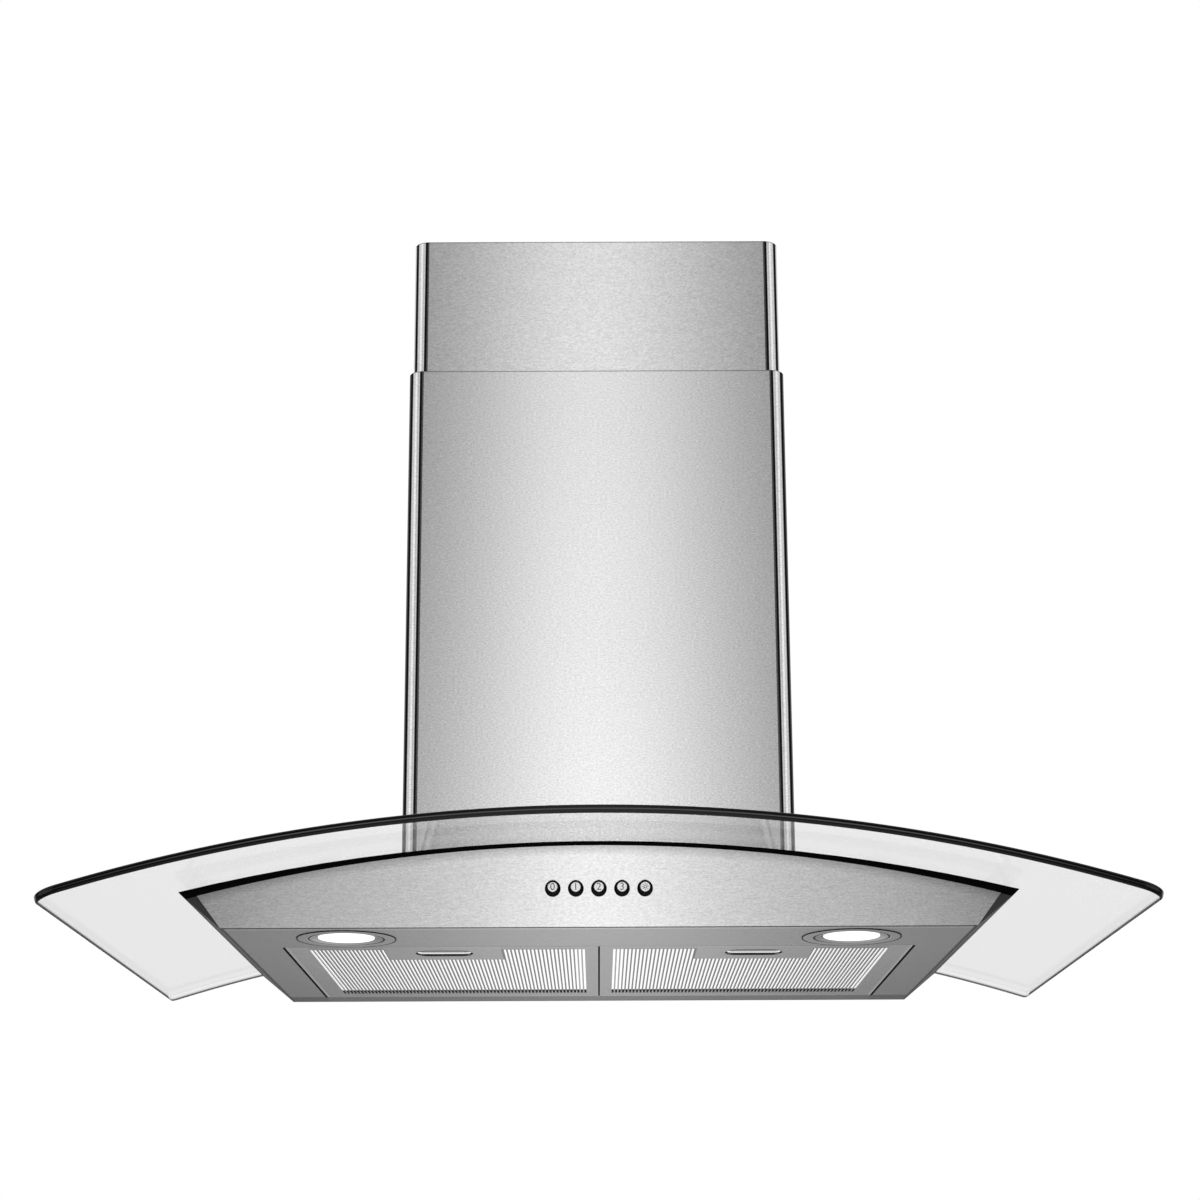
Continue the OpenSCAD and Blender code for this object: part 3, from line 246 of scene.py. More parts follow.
def brushed(name, colour, roughness, strokes, contrast, turned=0.0, lines=None, gloss=None):
    """strokes: waves per metre along X, Y and Z, of the long strokes and of the short ones
    contrast: how strongly each of the two shows
    lines: gives a factor for the tone of each place, a painted highlight above 1 and a painted black cover
    below 1; gloss: gives a factor for the roughness of each place"""
    finish = new_finish(name)
    grooves = finish.noise(1.0, 3.0, roughness=0.6, where=finish.place(strokes[0]))
    fine = finish.noise(1.0, where=finish.place(strokes[1], move=(3, 5, 7)))
    cloud = finish.noise(4.0)
    tone = (grooves - 0.5) * contrast[0] + (fine - 0.5) * contrast[1] + 1.0
    rough = (grooves - 0.5) * 0.10 + (cloud - 0.5) * 0.03 + roughness
    where = finish.axes()
    if lines:
        # Painted light and shade: a factor above 1 paints a highlight, and below 1 lays a matt black
        painted_light_tone = lines(*where)
        tone = tone * painted_light_tone.math("MAXIMUM", 1.0)
        cover_with_black(finish, finish.shader, (1.0 - painted_light_tone).between(0.0, 1.0))
    if gloss:
        rough = rough * gloss(*where)
    return finish.shine(
        Base_Color=finish.scaled(colour, tone),
        Metallic=1.0,
        Roughness=rough.between(0.02, 0.9, 0.02, 0.9),
        Anisotropic=0.8 if turned else 0.0,
        Anisotropic_Rotation=turned,
        Normal=finish.bump(grooves, 0.000012),
    )


# %% [markdown]
# ## Lines on the chimney and the front panel
# Thin dark lines are painted on the folded sheets: a painted dark reflection along each bend of the
# chimney, painted shade on the rim of each shell, and a painted shadow along the foot of the front panel. A
# painted shadow also darkens the top of that panel, under the glass. Each function gives a tone for each
# place.

# %% Lines on the chimney and the front panel
CORNER_R, BEND_R, GLASS_T, CROWN_Z = 11.5 * MM, 1257 * MM, 6 * MM, up(59)
bend_centre = CROWN_Z - BEND_R
body_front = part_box("underside_panel")[0].y
chimney_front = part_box("lower_chimney")[0].y
flat_half = {name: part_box(name)[1].x - CORNER_R for name in ("lower_chimney", "upper_chimney")}
print("half of the flat fronts:", {name: round(half, 4) for name, half in flat_half.items()})


def near(value, low, high, soft=0.1 * MM):
    """1 between low and high, 0 outside"""
    return value.between(low - soft, low) * value.fade(high, high + soft)


def shell_lines(top, flat):
    """flat: half the width of the flat front, where the bend of each corner begins"""

    def lines(x, y, z):
        # Painted dark reflections along the bends of the corners, and painted shade on the rim
        depth = y - chimney_front
        inner = near(x.size(), flat - 0.9 * MM, flat + 2.0 * MM, 0.2 * MM) * depth.fade(4 * MM, 6 * MM)
        outer = near(x.size(), flat + 8.0 * MM, flat + 12 * MM, 0.5 * MM) * depth.fade(8 * MM, 10 * MM)
        rim = near(z, top - 0.9 * MM, top)
        return (1.0 - rim * 0.55) * (1.0 - inner * 0.8) * (1.0 - outer * 0.85)

    return lines


def sharp_corners(flat):
    """The folding tools polish the rounded corners, so these are glossier"""

    def gloss(x, y, z):
        corner = (y - chimney_front).between(10 * MM, 12 * MM, 0.72, 0.0)
        return 1.0 - x.size().between(flat - 0.2 * MM, flat + 0.8 * MM) * corner

    return gloss


def distance(one, two):
    return (one * one + two * two).math("SQRT")


def seam_above(x, y, z):
    """A thin painted shade line along the foot, and a soft painted shadow under the glass"""
    foot = z.between(up(0.35), up(0.6), 0.12, 1.0)
    return foot * distance(x, z - bend_centre).fade(BEND_R - 10 * MM, BEND_R - 3.5 * MM, 0.66)


# %% [markdown]
# ## Lines under the hood
# Under the hood, a painted highlight runs along the panel's front hem, and painted shade lies beside the
# filters, on the strips outside them and along the wall. On the filters, painted highlights stand for the
# folded edges that catch the light, and painted shade darkens the bars, the gap between the filters and the
# rims of the two latch recesses.

# %% Lines under the hood
opening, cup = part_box("filter_frame_right"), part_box("filter_latch_right")
LATCH_X, LATCH_Y = (cup[0].x + cup[1].x) / 2, -272.2 * MM
LATCH_R, LATCH_HALF = 10.5 * MM, 11 * MM
PLATE_X, PLATE_REAR = (74.4 * MM, 162.8 * MM), -241 * MM
BARS_Y = (-292 * MM, -62 * MM)
print("latches at x", round(LATCH_X, 4), "and y", LATCH_Y)


def underside_lines(x, y, z):
    """A painted highlight on the front hem, a painted shadow beside each filter, painted shade on the
    strips outside the filters towards the wall, and a painted shadow on the strip along the wall
    """
    outside = x.size() - opening[1].x
    hem = near(y, body_front - 1 * MM, body_front + 6.5 * MM) * 0.32
    beside = near(outside, 0.2 * MM, 2.1 * MM) * near(y, opening[0].y, opening[1].y)
    ends = outside.between(0.0, 2 * MM) * y.between(-0.30, -0.05) * 0.14
    rear = y.fade(-34 * MM, -30 * MM, 0.62) * y.fade(-4 * MM, -3 * MM, 0.6)
    return (1.0 + hem) * (1.0 - beside * 0.95) * (1.0 - ends) * rear


def latch_rim(x, y):
    """Painted shade round the edge of the recess, a slot with round ends"""
    along = ((x.size() - LATCH_X).size() - LATCH_HALF).math("MAXIMUM", 0.0)
    across = y - LATCH_Y
    to_rim = distance(along, across) - LATCH_R
    ends = near(to_rim, -0.9 * MM, 0.6 * MM) * 0.85
    sides = near(to_rim, -0.9 * MM, 3.2 * MM) * across.size().between(8 * MM, 10 * MM) * 0.9
    return ends.math("MAXIMUM", sides)


def filter_lines(x, y, z):
    """Painted highlights on the folded edges, the border and the solid plate by the latch; painted shade on
    the bars, in the gap between the two filters and round the latch recesses
    """
    outside = x.size() - opening[1].x
    outer = near(outside, -2.0 * MM, 0.3 * MM) * 0.70
    front_edge = near(y, opening[0].y - 0.3 * MM, opening[0].y + 3.5 * MM) * 0.22
    border = outside.between(-20 * MM, -15 * MM) * y.between(-0.26, -0.08, 0.32, 0.0)
    plate = near(x.size(), *PLATE_X) * y.fade(PLATE_REAR - 1 * MM, PLATE_REAR)
    bars = near(x.size(), 19 * MM, opening[1].x - 22 * MM) * near(y, *BARS_Y) * (1.0 - plate)
    light = 1.0 + outer + front_edge + border + plate * 0.14
    gap = x.size().between(0.6 * MM, 0.75 * MM, 0.06, 1.0)
    return light * gap * (1.0 - latch_rim(x, y)) * (1.0 - bars * 0.35)


def gap_shadow(x, y, z):
    """Hardly any light reaches the rail through the gap between the filters"""
    return x.size().between(4 * MM, 6 * MM, 0.02, 1.0)


# %% [markdown]
# ## One steel for each kind of sheet
# Body and front panel are brushed from side to side. The chimney's strokes run round it, and each shell has
# its own painted dark line on its rim, so each needs its own finish. The sheets under the hood are duller.

# %% The steels
ALONG_X = ((110.0, 1100.0, 1100.0), (480.0, 1150.0, 1150.0))
ROUND_Z = ((150.0, 150.0, 1000.0), (480.0, 480.0, 1050.0))
STAINLESS, DULL = (0.80, 0.80, 0.81), (0.58, 0.58, 0.59)
steel = brushed("steel", STAINLESS, 0.17, ALONG_X, (0.38, 0.64))
front_steel = brushed("steel_front", STAINLESS, 0.17, ALONG_X, (0.38, 0.64), lines=seam_above)
chimney_steel = {
    name: brushed("steel_" + name, STAINLESS, 0.22, ROUND_Z, (0.12, 0.68), turned=0.25,
                  lines=shell_lines(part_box(name)[1].z, half), gloss=sharp_corners(half))
    for name, half in flat_half.items()
}
underside_steel = brushed(
    "steel_underside", (0.58, 0.58, 0.595), 0.22, ALONG_X, (0.34, 0.52), lines=underside_lines)
rail_steel = brushed("steel_rail", DULL, 0.3, ALONG_X, (0.30, 0.44), lines=gap_shadow)
filter_steel = brushed("steel_filter", DULL, 0.22, ALONG_X, (0.30, 0.44), lines=filter_lines)
print("chimney:", [finish.name for finish in chimney_steel.values()])

# %% [markdown]
# ## Glass
# The canopy is clear float glass. What shows is mostly what lies behind it, a little darker. So most rays
# pass straight through. All rays that only ask for light do, because plain glass throws a dark shadow.

# %% Glass
GLASS_TINT, GLASS_PASSES = (0.99, 0.99, 0.99), 0.938


def clear_glass(name, dark_of=None):
    """dark_of: where a painted black, a painted dark reflection, is laid over the glass, from 0 to 1"""
    finish = new_finish(name)
    dust = finish.noise(9.0, 3.0)
    finish.shine(Base_Color=finish.scaled(GLASS_TINT, (dust - 0.5) * 0.02 + 1.0), Roughness=0.0, IOR=1.45,
                 Transmission_Weight=1.0)
    through = finish.tree.nodes.new("ShaderNodeBsdfTransparent")
    finish.set(through.inputs[0], (GLASS_PASSES,) * 3)
    shadow, diffuse = finish.rays("Is Shadow Ray", "Is Diffuse Ray")
    both = finish.layer(shadow.math("MAXIMUM", diffuse).math("MAXIMUM", 0.85), finish.shader, through)
    if dark_of:
        cover_with_black(finish, both, dark_of(*finish.axes()))
    return finish.owner


canopy_glass = clear_glass("glass")
print("glass lets", GLASS_PASSES, "through")

# %% [markdown]
# ## Paint, plastic, rubber and plain metal
# No real surface has one flat tone. Each of these finishes has a fine grain, and slow clouds of tone and
# gloss. They differ in colour, roughness and grain.


# %% Plain finishes
def plain(name, colour, roughness, grain=600.0, depth=0.00002, metal=0.0, **more):
    """A moulded, painted or coated surface"""
    finish = new_finish(name)
    fine = finish.noise(grain, 3.0)
    cloud = finish.noise(14.0)
    tone = (cloud - 0.5) * 0.16 + (fine - 0.5) * 0.08 + 1.0
    rough = (cloud - 0.5) * 0.10 + (fine - 0.5) * 0.08 + roughness
    return finish.shine(
        Base_Color=finish.scaled(colour, tone), Metallic=metal,
        Roughness=rough.between(0.01, 0.95, 0.01, 0.95), Normal=finish.bump(fine, depth), **more
    )


ALUMINIUM, ZINC = (0.66, 0.66, 0.68), (0.55, 0.56, 0.58)
FINISHES = {
    "stainless": steel,
    "filter_steel": filter_steel,
    "canopy_glass": canopy_glass,
    "black_rubber": plain("rubber_black", (0.002, 0.002, 0.002), 0.8, IOR=1.05),
    "chrome": plain("chrome", (0.80, 0.80, 0.82), 0.08, metal=1.0, depth=0.000004),
    "dark_paint": plain("paint_dark", (0.030, 0.030, 0.033), 0.45, grain=900.0),
    "zinc_steel": plain("zinc_steel", ZINC, 0.42, grain=260.0, metal=1.0, depth=0.00001),
    "black_plastic": plain("plastic_black", (0.028, 0.028, 0.030), 0.5),
    "grey_plastic": plain("plastic_grey", (0.11, 0.11, 0.12), 0.5),
    "white_plastic": plain("plastic_white", (0.72, 0.72, 0.70), 0.4),
    "green_board": plain("board_green", (0.03, 0.16, 0.07), 0.4),
    "spring_steel": plain("spring_steel", (0.62, 0.62, 0.64), 0.2, metal=1.0),
    "reflector": plain("reflector", (0.90, 0.90, 0.91), 0.12, metal=1.0),
    "white_board": plain("board_white", (0.80, 0.80, 0.78), 0.45),
    "flap_aluminium": plain("aluminium_flap", ALUMINIUM, 0.36, grain=220.0, metal=1.0),
    "motor_paint": plain("paint_motor", (0.12, 0.125, 0.135), 0.42),
    "lead_jacket": plain("lead_jacket", (0.62, 0.62, 0.62), 0.5),
    "lamp_lens": plain("lens_lit", (0.90, 0.92, 0.95), 0.35, Emission_Color=(0.90, 0.94, 1.0),
                       Emission_Strength=1.0),
}
engraving = plain("engraving", (0.07, 0.07, 0.07), 0.5)
print(len(FINISHES), "finishes")

# %% [markdown]
# ## Mesh and pull cups
# Seen from below, the mesh shines white through the slots, because it reflects a lit kitchen. The plain
# studio has no such light, so a painted glow, a little emission, stands in for it on the lower side of the
# mesh and on the lowest part of each pull cup. From above, the mesh shows plain crossing strands.

# %% Mesh and pull cups
WHITE = (1.0, 1.0, 1.0)


def bright_mesh(name):
    """Strands with a painted glow; their rear ends, in the dark under the hood, get painted shade and are
    nearly black
    """
    finish = new_finish(name)
    fine = finish.noise(300.0, 3.0)
    lit = finish.axes()[1].fade(-64 * MM, -59 * MM, 0.03)
    return finish.shine(
        Base_Color=finish.scaled((0.5, 0.5, 0.5), lit * ((fine - 0.5) * 0.1 + 1.0)),
        Emission_Color=finish.scaled(WHITE, lit),
        Emission_Strength=0.62,
        Metallic=1.0,
        Roughness=(fine - 0.5) * 0.1 + 0.34,
    )


def woven_mesh(name, cell):
    """The upper side of the mesh: thin crossing strands over dark gaps"""
    finish = new_finish(name)
    x, y, _ = finish.axes()
    waves = [(way * (math.pi / cell)).math("SINE").size() for way in (x + y * 0.6, x - y * 0.6)]
    strand = waves[0].math("MAXIMUM", waves[1]).between(0.80, 0.95)
    blotch = finish.noise(60.0, 3.0)
    return finish.shine(
        Base_Color=finish.mix(strand, (0.09, 0.09, 0.095), (0.62, 0.62, 0.64)),
        Metallic=strand,
        Roughness=(blotch - 0.5) * 0.2 + 0.38,
        Normal=finish.bump(strand, 0.0002),
    )


def cup_steel(name):
    """The pull cup of a latch: a painted glow on the lowest part of its walls, and painted shade, with less
    glow, on the front wall behind the rim
    """
    finish = new_finish(name)
    _, y, z = finish.axes()
    strokes = finish.noise(1.0, 3.0, where=finish.place(ALONG_X[0]))
    height = z - cup[0].z
    behind_rim = (y - LATCH_Y).between(-8.4 * MM, -7.9 * MM, 0.15, 1.0)
    return finish.shine(
        Base_Color=finish.scaled(DULL, (strokes - 0.5) * 0.3 + 1.0),
        Emission_Color=finish.scaled(WHITE, height.fade(0.7 * MM, 1.2 * MM, 0.25) * behind_rim),
        Emission_Strength=0.55,
        Metallic=1.0,
        Roughness=(strokes - 0.5) * 0.1 + 0.3,
    )


FINISHES["filter_aluminium"] = bright_mesh("aluminium_painted_glow")
upper_mesh = woven_mesh("aluminium_woven", 3.6 * MM)
latch_steel = cup_steel("steel_latch")
print("mesh and cup:", upper_mesh.name, latch_steel.name)

# %% [markdown]
# ## Finishes that follow a shape
# Some finishes change across a part. A ground glass edge is painted almost black, a painted dark
# reflection, with a painted highlight: a lighter matt line along its middle. A lamp's bezel gets painted
# shade in its groove and round its rim, and a push button has sides painted near black, a painted dark
# reflection, and a bright chrome face. Each takes its mask from the distance to the part's own axis or
# centre line.


# %% Finishes with a mask
def masked(name, mask_of, inside, outside, roughness, metal=(0.0, 0.0), **more):
    """Two tones, mixed by a mask that is worked out from the place on the part"""
    finish = new_finish(name)
    mask = mask_of(*finish.axes())
    grain = finish.noise(700.0, 3.0)
    return finish.shine(
        Base_Color=finish.scaled(finish.mix(mask, outside, inside), (grain - 0.5) * 0.12 + 1.0),
        Metallic=mask * (metal[0] - metal[1]) + metal[1],
        Roughness=mask * (roughness[0] - roughness[1]) + (grain - 0.5) * 0.06 + roughness[1],
        Normal=finish.bump(grain, 0.000004),
        **more,
    )


LAMP_X, LAMP_Y = 186 * MM, -343 * MM
BUTTON_Z, BUTTON_STEP = up(26.6), 16.5 * MM


def from_middle(x, z):
    """Height above the middle of the glass's thickness"""
    return distance(x, z - bend_centre) - (BEND_R + GLASS_T / 2)


def ground_line(x, y, z):
    """A painted highlight: a lighter matt line along the middle of the ground edge, which fades to the
    sides
    """
    line = from_middle(x, z).size().fade(0.25 * MM, 0.55 * MM)
    return line * x.size().fade(0.20, 0.36, 0.25)


def low_edge(x, y, z):
    """Polished side and rear edges: a painted black, a painted dark reflection, on the part turned to the
    floor
    """
    side = x.size().between(0.34, 0.36, 0.0, 2.2 * MM) * y.fade(-12 * MM, -6 * MM)
    height = from_middle(x, z) - side
    return height.fade(-1.4 * MM, -1.0 * MM, 0.35) * height.fade(-0.6 * MM, 0.2 * MM, 0.1)


def bezel_dark(x, y, z):
    """Painted shade in the groove and round the rim"""
    radius = distance(x.size() - LAMP_X, y - LAMP_Y)
    groove = (radius - 27.6 * MM).size().fade(0.5 * MM, 0.7 * MM)
    return groove.math("MAXIMUM", radius.between(35.7 * MM, 35.9 * MM))


def button_face(x, y, z):
    """1 on the flat face of each button, 0 on its sides"""
    middle = (x / BUTTON_STEP + 0.5).math("FLOOR") * BUTTON_STEP
    return distance(x - middle, z - BUTTON_Z).fade(3.4 * MM, 3.55 * MM)


# The ground edge is painted near black, a painted dark reflection, with a painted highlight along its
# middle
edge_glass = masked(
    "glass_edge", ground_line, (0.07, 0.072, 0.072), (0.002, 0.002, 0.002), (0.5, 0.12), IOR=1.3)
side_glass = clear_glass("glass_edge_clear", low_edge)
FINISHES["bezel_steel"] = masked(
    "steel_bezel", bezel_dark, (0.05, 0.05, 0.05), (0.52, 0.52, 0.53), (0.5, 0.26), metal=(1.0, 1.0))
# The button's sides are painted near black, a painted dark reflection of the chrome; its face is bright
# chrome
FINISHES["button_chrome"] = masked(
    "chrome_button", button_face, (0.90, 0.90, 0.91), (0.008, 0.008, 0.008), (0.22, 0.4), metal=(1.0, 0.0),
    IOR=1.04)
print(len(FINISHES), "finishes")

# %% [markdown]
# ## Parts that keep their CAD shape
# Most parts inside the hood are fine as they come from the CAD. Each part's record says what it is made
# of, and that word picks its finish.

# %% Every carried-over part takes its finish
for part in frame["record"]["subparts"]:
    node = frame["nodes"][part["node"]]
    node.data.materials.clear()
    node.data.materials.append(
        rail_steel if part["node"] == "filter_rail" else FINISHES[part["material_slot"]])

# %% [markdown]
# ## The studio
# The hood hangs in a light tent. The floor is far below it, where a kitchen floor would be. Metal shows
# what stands around it, so the world has a bright strip in front, dark gaps beside it, bright sides and
# a dark band behind, as a studio has. Everything else is lit evenly, and the camera sees plain white.

# %% World
studio = Finish(scene.world or bpy.data.worlds.new("studio"), "ShaderNodeOutputWorld",
                "ShaderNodeBackground")
scene.world = studio.owner
side, depth, height = studio.axes(studio.node("ShaderNodeTexCoord", {}, out="Generated"))
EVEN_LIGHT, TINY = 0.75, 0.001
# In front: slope is how far a direction leans sideways. The bright strip narrows and dims upwards.
slope = side.size() / (0.0 - depth).math("MAXIMUM", TINY)
rise = height.math("MAXIMUM", 0.0)
spread = slope * (rise * 1.7 + 1.0)
strip = 1.0 / (spread * spread * 300.0 + 1.0) * (1.85 - rise * 1.2)
halo, overhead = slope.between(0.06, 0.14, 0.12, 0.0), height.between(0.60, 0.74, 0.0, 0.4)
sides = slope.between(0.46, 0.56, 0.0, 0.72)
sides = sides + near(slope, 1.3, 2.0, 0.3) * 0.33 - near(slope, 0.75, 0.95, 0.1) * 0.14
front = strip + halo + sides + overhead
# Behind: bright in the middle, a dark band, a lighter edge, and dark below
past = side.size() / depth.math("MAXIMUM", TINY)
backdrop = past.between(1.2, 1.6, 0.8, 0.02).math("MAXIMUM", past.between(8.0, 11.0, 0.0, 0.6))
backdrop = backdrop * height.between(-0.12, -0.02, 0.08, 1.0)
behind = depth.between(-TINY, TINY)
seen_in_metal = front * (1.0 - behind) + backdrop * behind
is_camera, is_glossy, is_through = studio.rays("Is Camera Ray", "Is Glossy Ray", "Is Transmission Ray")
white = is_camera.math("MAXIMUM", is_through)
strength = white + (1.0 - white) * (is_glossy * seen_in_metal + (1.0 - is_glossy) * EVEN_LIGHT)
studio.shine(Color=WHITE, Strength=strength)
print("world with", len(studio.tree.nodes), "nodes")

# %% [markdown]
# ## The floor
# The floor is a large pale disc. Seen by the camera, it fades to white far away, so no horizon shows. Metal
# sees a pool of light on it, bright in the middle and dimmer to the sides, which is what gives the sloping
# panel and the underside their soft bright centre.

# %% Floor
FLOOR_Z, FLOOR_R = -1.78, 16.0
bpy.ops.object.select_all(action="DESELECT")
bpy.ops.mesh.primitive_circle_add(vertices=96, radius=FLOOR_R, fill_type="NGON", location=(0, 0, FLOOR_Z))
floor = bpy.context.object
floor.name = "floor"
ground = new_finish("floor_pale")
floor_x, floor_y, _ = ground.axes()
speckle = ground.noise(40.0, 3.0)
ground.shine(Base_Color=ground.scaled((0.72, 0.72, 0.72), (speckle - 0.5) * 0.04 + 1.0), Roughness=0.9)
# The pool of light that metal sees: narrow in front of the hood, wide and dimmer behind it
close, far = floor_x / 0.16, floor_x / 0.85
pool_front = (0.50 + 0.95 / (close * close + 1.0)) * floor_x.size().fade(0.68, 1.0, 0.25)
pool_front = pool_front + floor_y.between(-8.0, -6.5, 0.7, 0.0)
pool_rear = (0.20 + 0.52 / (far * far + 1.0)) * floor_y.fade(9.0, 11.6, 0.12)
rear = floor_y.between(-0.3, 0.8)
pool = pool_front * (1.0 - rear) + pool_rear * rear
is_camera, is_glossy = ground.rays("Is Camera Ray", "Is Glossy Ray")
away = distance(floor_x, floor_y).between(3.0, 9.0)
glow = ground.tree.nodes.new("ShaderNodeEmission")
ground.set(glow.inputs["Strength"], is_glossy * pool + (1.0 - is_glossy))
ground.layer(is_glossy.math("MAXIMUM", is_camera * away), ground.shader, glow)
floor.data.materials.append(ground.owner)
print("floor at", FLOOR_Z, "m")

# %% [markdown]
# ## Soft lamps
# Two large square lamps, one high on the left and one lower on the right, give the black, painted and
# plastic parts a lighter side. Metal does not show them.


# %% Lamps
AIM, LAMP_W = Vector((0, -0.2, 0)), 1.6


def soft_lamp(name, where, power):
    data = bpy.data.lights.new(name, "AREA")
    data.shape, data.size, data.energy = "SQUARE", LAMP_W, power
    lamp = bpy.data.objects.new(name, data)
    scene.collection.objects.link(lamp)
    lamp.location = where
    lamp.rotation_euler = (AIM - Vector(where)).to_track_quat("-Z", "Y").to_euler()
    lamp.visible_glossy = False
    print(name, "at", where, "with", power, "W")


soft_lamp("key_lamp", (-1.6, -2.2, 1.2), 18)
soft_lamp("fill_lamp", (1.8, -1.8, -0.6), 10)

# %% [markdown]
# ## Working by hand, in code
# In the window, a modeller adds a primitive, selects some faces, and pushes them about. The same operators
# work from a script. Only the selecting changes: a test on a face's place or direction picks it.


# %% Adding and selecting
def pick_nothing():
    if bpy.context.mode != "OBJECT":
        bpy.ops.object.mode_set(mode="OBJECT")
    bpy.ops.object.select_all(action="DESELECT")


def pick(piece):
    pick_nothing()
    piece.select_set(True)
    bpy.context.view_layer.objects.active = piece


def bake_place(piece):
    """Writes the object's place, turn and scale into its mesh"""
    pick(piece)
    bpy.ops.object.transform_apply(location=True, rotation=True, scale=True)


def start(name, add, **settings):
    """Adds a primitive at its size and place"""
    pick_nothing()
    scale = settings.pop("scale", (1, 1, 1))
    add(**settings)
    piece = bpy.context.object
    piece.name = piece.data.name = name
    piece.scale = scale
    bake_place(piece)
    return piece


def edit(piece, kind="FACE", test=None):
    """Enters edit mode; selects the vertices, edges or faces that pass the test, or all"""
    pick(piece)
    bpy.ops.object.mode_set(mode="EDIT")
    bpy.ops.mesh.select_mode(type=kind)
    bpy.ops.mesh.select_all(action="DESELECT" if test else "SELECT")
    if test:
        bpy.ops.object.mode_set(mode="OBJECT")
        mesh = piece.data
        parts, places = {
            "VERT": (mesh.vertices, lambda vertex: (vertex.co,)),
            "EDGE": (mesh.edges, lambda an_edge: [mesh.vertices[i].co for i in an_edge.vertices]),
            "FACE": (mesh.polygons, lambda face: (face.center, face.normal)),
        }[kind]
        for part in parts:
            part.select = bool(test(*places(part)))
        bpy.ops.object.mode_set(mode="EDIT")


def done():
    bpy.ops.object.mode_set(mode="OBJECT")


# %% [markdown]
# A few steps come back for almost every piece: a modifier is applied, a tool cuts a hole, doubled points
# are merged, or a piece is turned and moved to its place.

# %% Shaping
CLOSE_BY, DOUBLES = 0.01 * MM, 0.002 * MM


def same(one, two):
    return abs(one - two) < CLOSE_BY


def modify(piece, kind, **settings):
    """Adds a modifier and applies it"""
    pick(piece)
    modifier = piece.modifiers.new(kind.lower(), kind)
    for name, value in settings.items():
        setattr(modifier, name, value)
    bpy.ops.object.modifier_apply(modifier=modifier.name)


def cut_with(piece, tool):
    """Cuts the tool's shape out of the piece, and removes the tool"""
    modify(piece, "BOOLEAN", operation="DIFFERENCE", object=tool, solver="EXACT")
    bpy.data.objects.remove(tool)


def slice_at(piece, axis, places):
    """Cuts new edges across the piece at each place along an axis"""
    for value in places:
        point, normal = [0.0, 0.0, 0.0], [0.0, 0.0, 0.0]
        point[axis], normal[axis] = value, 1.0
        edit(piece)
        bpy.ops.mesh.bisect(plane_co=point, plane_no=normal)
        done()


def outwards(piece):
    """Merges doubled points, and turns every face outwards"""
    edit(piece)
    bpy.ops.mesh.remove_doubles(threshold=DOUBLES)
    bpy.ops.mesh.normals_make_consistent(inside=False)
    done()


def smooth(piece, degrees):
    """Shades smoothly across edges that bend less than the angle"""
    pick(piece)
    bpy.ops.object.shade_smooth_by_angle(angle=math.radians(degrees))


def even_shading(piece):
    """Lets large faces decide the shading at their edges, so that flats look flat"""
    modify(piece, "WEIGHTED_NORMAL", keep_sharp=True, weight=100)


def join(first, *others):
    pick(first)
    for other in others:
        other.select_set(True)
    bpy.ops.object.join()
    return first


def moved(piece, *, turn=None, to=(0, 0, 0)):
    """Turns the piece's mesh about the origin, then moves it"""
    piece.matrix_world = Matrix.Translation(to) @ (turn or Matrix.Identity(4))
    bake_place(piece)
    return piece


# %% [markdown]
# Round parts are made as on a lathe, from half of their outline. Every piece gets a finish in the end, the
# body it moves with, and the CAD parts it stands for.


# %% Turning and dressing
def turned(name, profile, steps):
    """A ring of edges, extruded and scaled from each point of the profile to the next, about Z
    profile: radius and height of each point, in millimetres; an open one gets flat ends"""
    profile = [(r * MM, z * MM) for r, z in profile]
    r, z = profile[0]
    piece = start(name, bpy.ops.mesh.primitive_circle_add, vertices=steps, radius=r, location=(0, 0, z))
    edit(piece, "EDGE")
    for r_next, z_next in profile[1:]:
        bpy.ops.mesh.extrude_edges_move(TRANSFORM_OT_translate={"value": (0, 0, z_next - z)})
        bpy.ops.transform.resize(value=(r_next / r, r_next / r, 1), center_override=(0, 0, z_next))
        r, z = r_next, z_next
    done()
    if profile[0] != profile[-1]:
        for end_r, end_z in (profile[0], profile[-1]):
            edit(piece, "EDGE", lambda a, b: all(
                abs(p.z - end_z) < DOUBLES and abs(math.hypot(p.x, p.y) - end_r) < DOUBLES for p in (a, b)))
            bpy.ops.mesh.edge_face_add()
            done()
    outwards(piece)
    return piece


def dress(piece, finish, body, slot, *nodes):
    """Gives the piece its finish, its body and the parts that it stands for"""
    if finish is not None:
        piece.data.materials.clear()
        piece.data.materials.append(finish)
    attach(piece, body)
    if nodes:
        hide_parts(*nodes)
    return piece


# %% [markdown]
# ## The glass canopy
# The real canopy starts as a flat sheet of glass. Its corners are rounded, a notch for the blower is cut,
# its edges are ground, and it is then bent in a furnace over a mould. The piece follows the same steps: a
# flat sheet, rounded corners, a notch, thickness, ground edges, and one bend.

# %% Canopy
FRONT_CORNER_R, REAR_CORNER_R = 18 * MM, 5 * MM
NOTCH_X, NOTCH_Y = 143.2 * MM, -234 * MM
GROUND_W, SLICES = 2.2 * MM, 72
glass_low, glass_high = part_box("glass_canopy")
half_angle = math.asin(glass_high.x / (BEND_R + GLASS_T))
flat_w = 2 * half_angle * BEND_R
glass_d = -glass_low.y
canopy = start("canopy", bpy.ops.mesh.primitive_plane_add, size=1, location=(0, -glass_d / 2, 0),
               scale=(flat_w, glass_d, 1))
for corner_y, radius in ((-glass_d, FRONT_CORNER_R), (0.0, REAR_CORNER_R)):
    edit(canopy, "VERT", lambda co: same(abs(co.x), flat_w / 2) and same(co.y, corner_y))
    bpy.ops.mesh.bevel(offset=radius, segments=10, affect="VERTICES")
    done()
slice_at(canopy, 0, (-NOTCH_X, NOTCH_X))
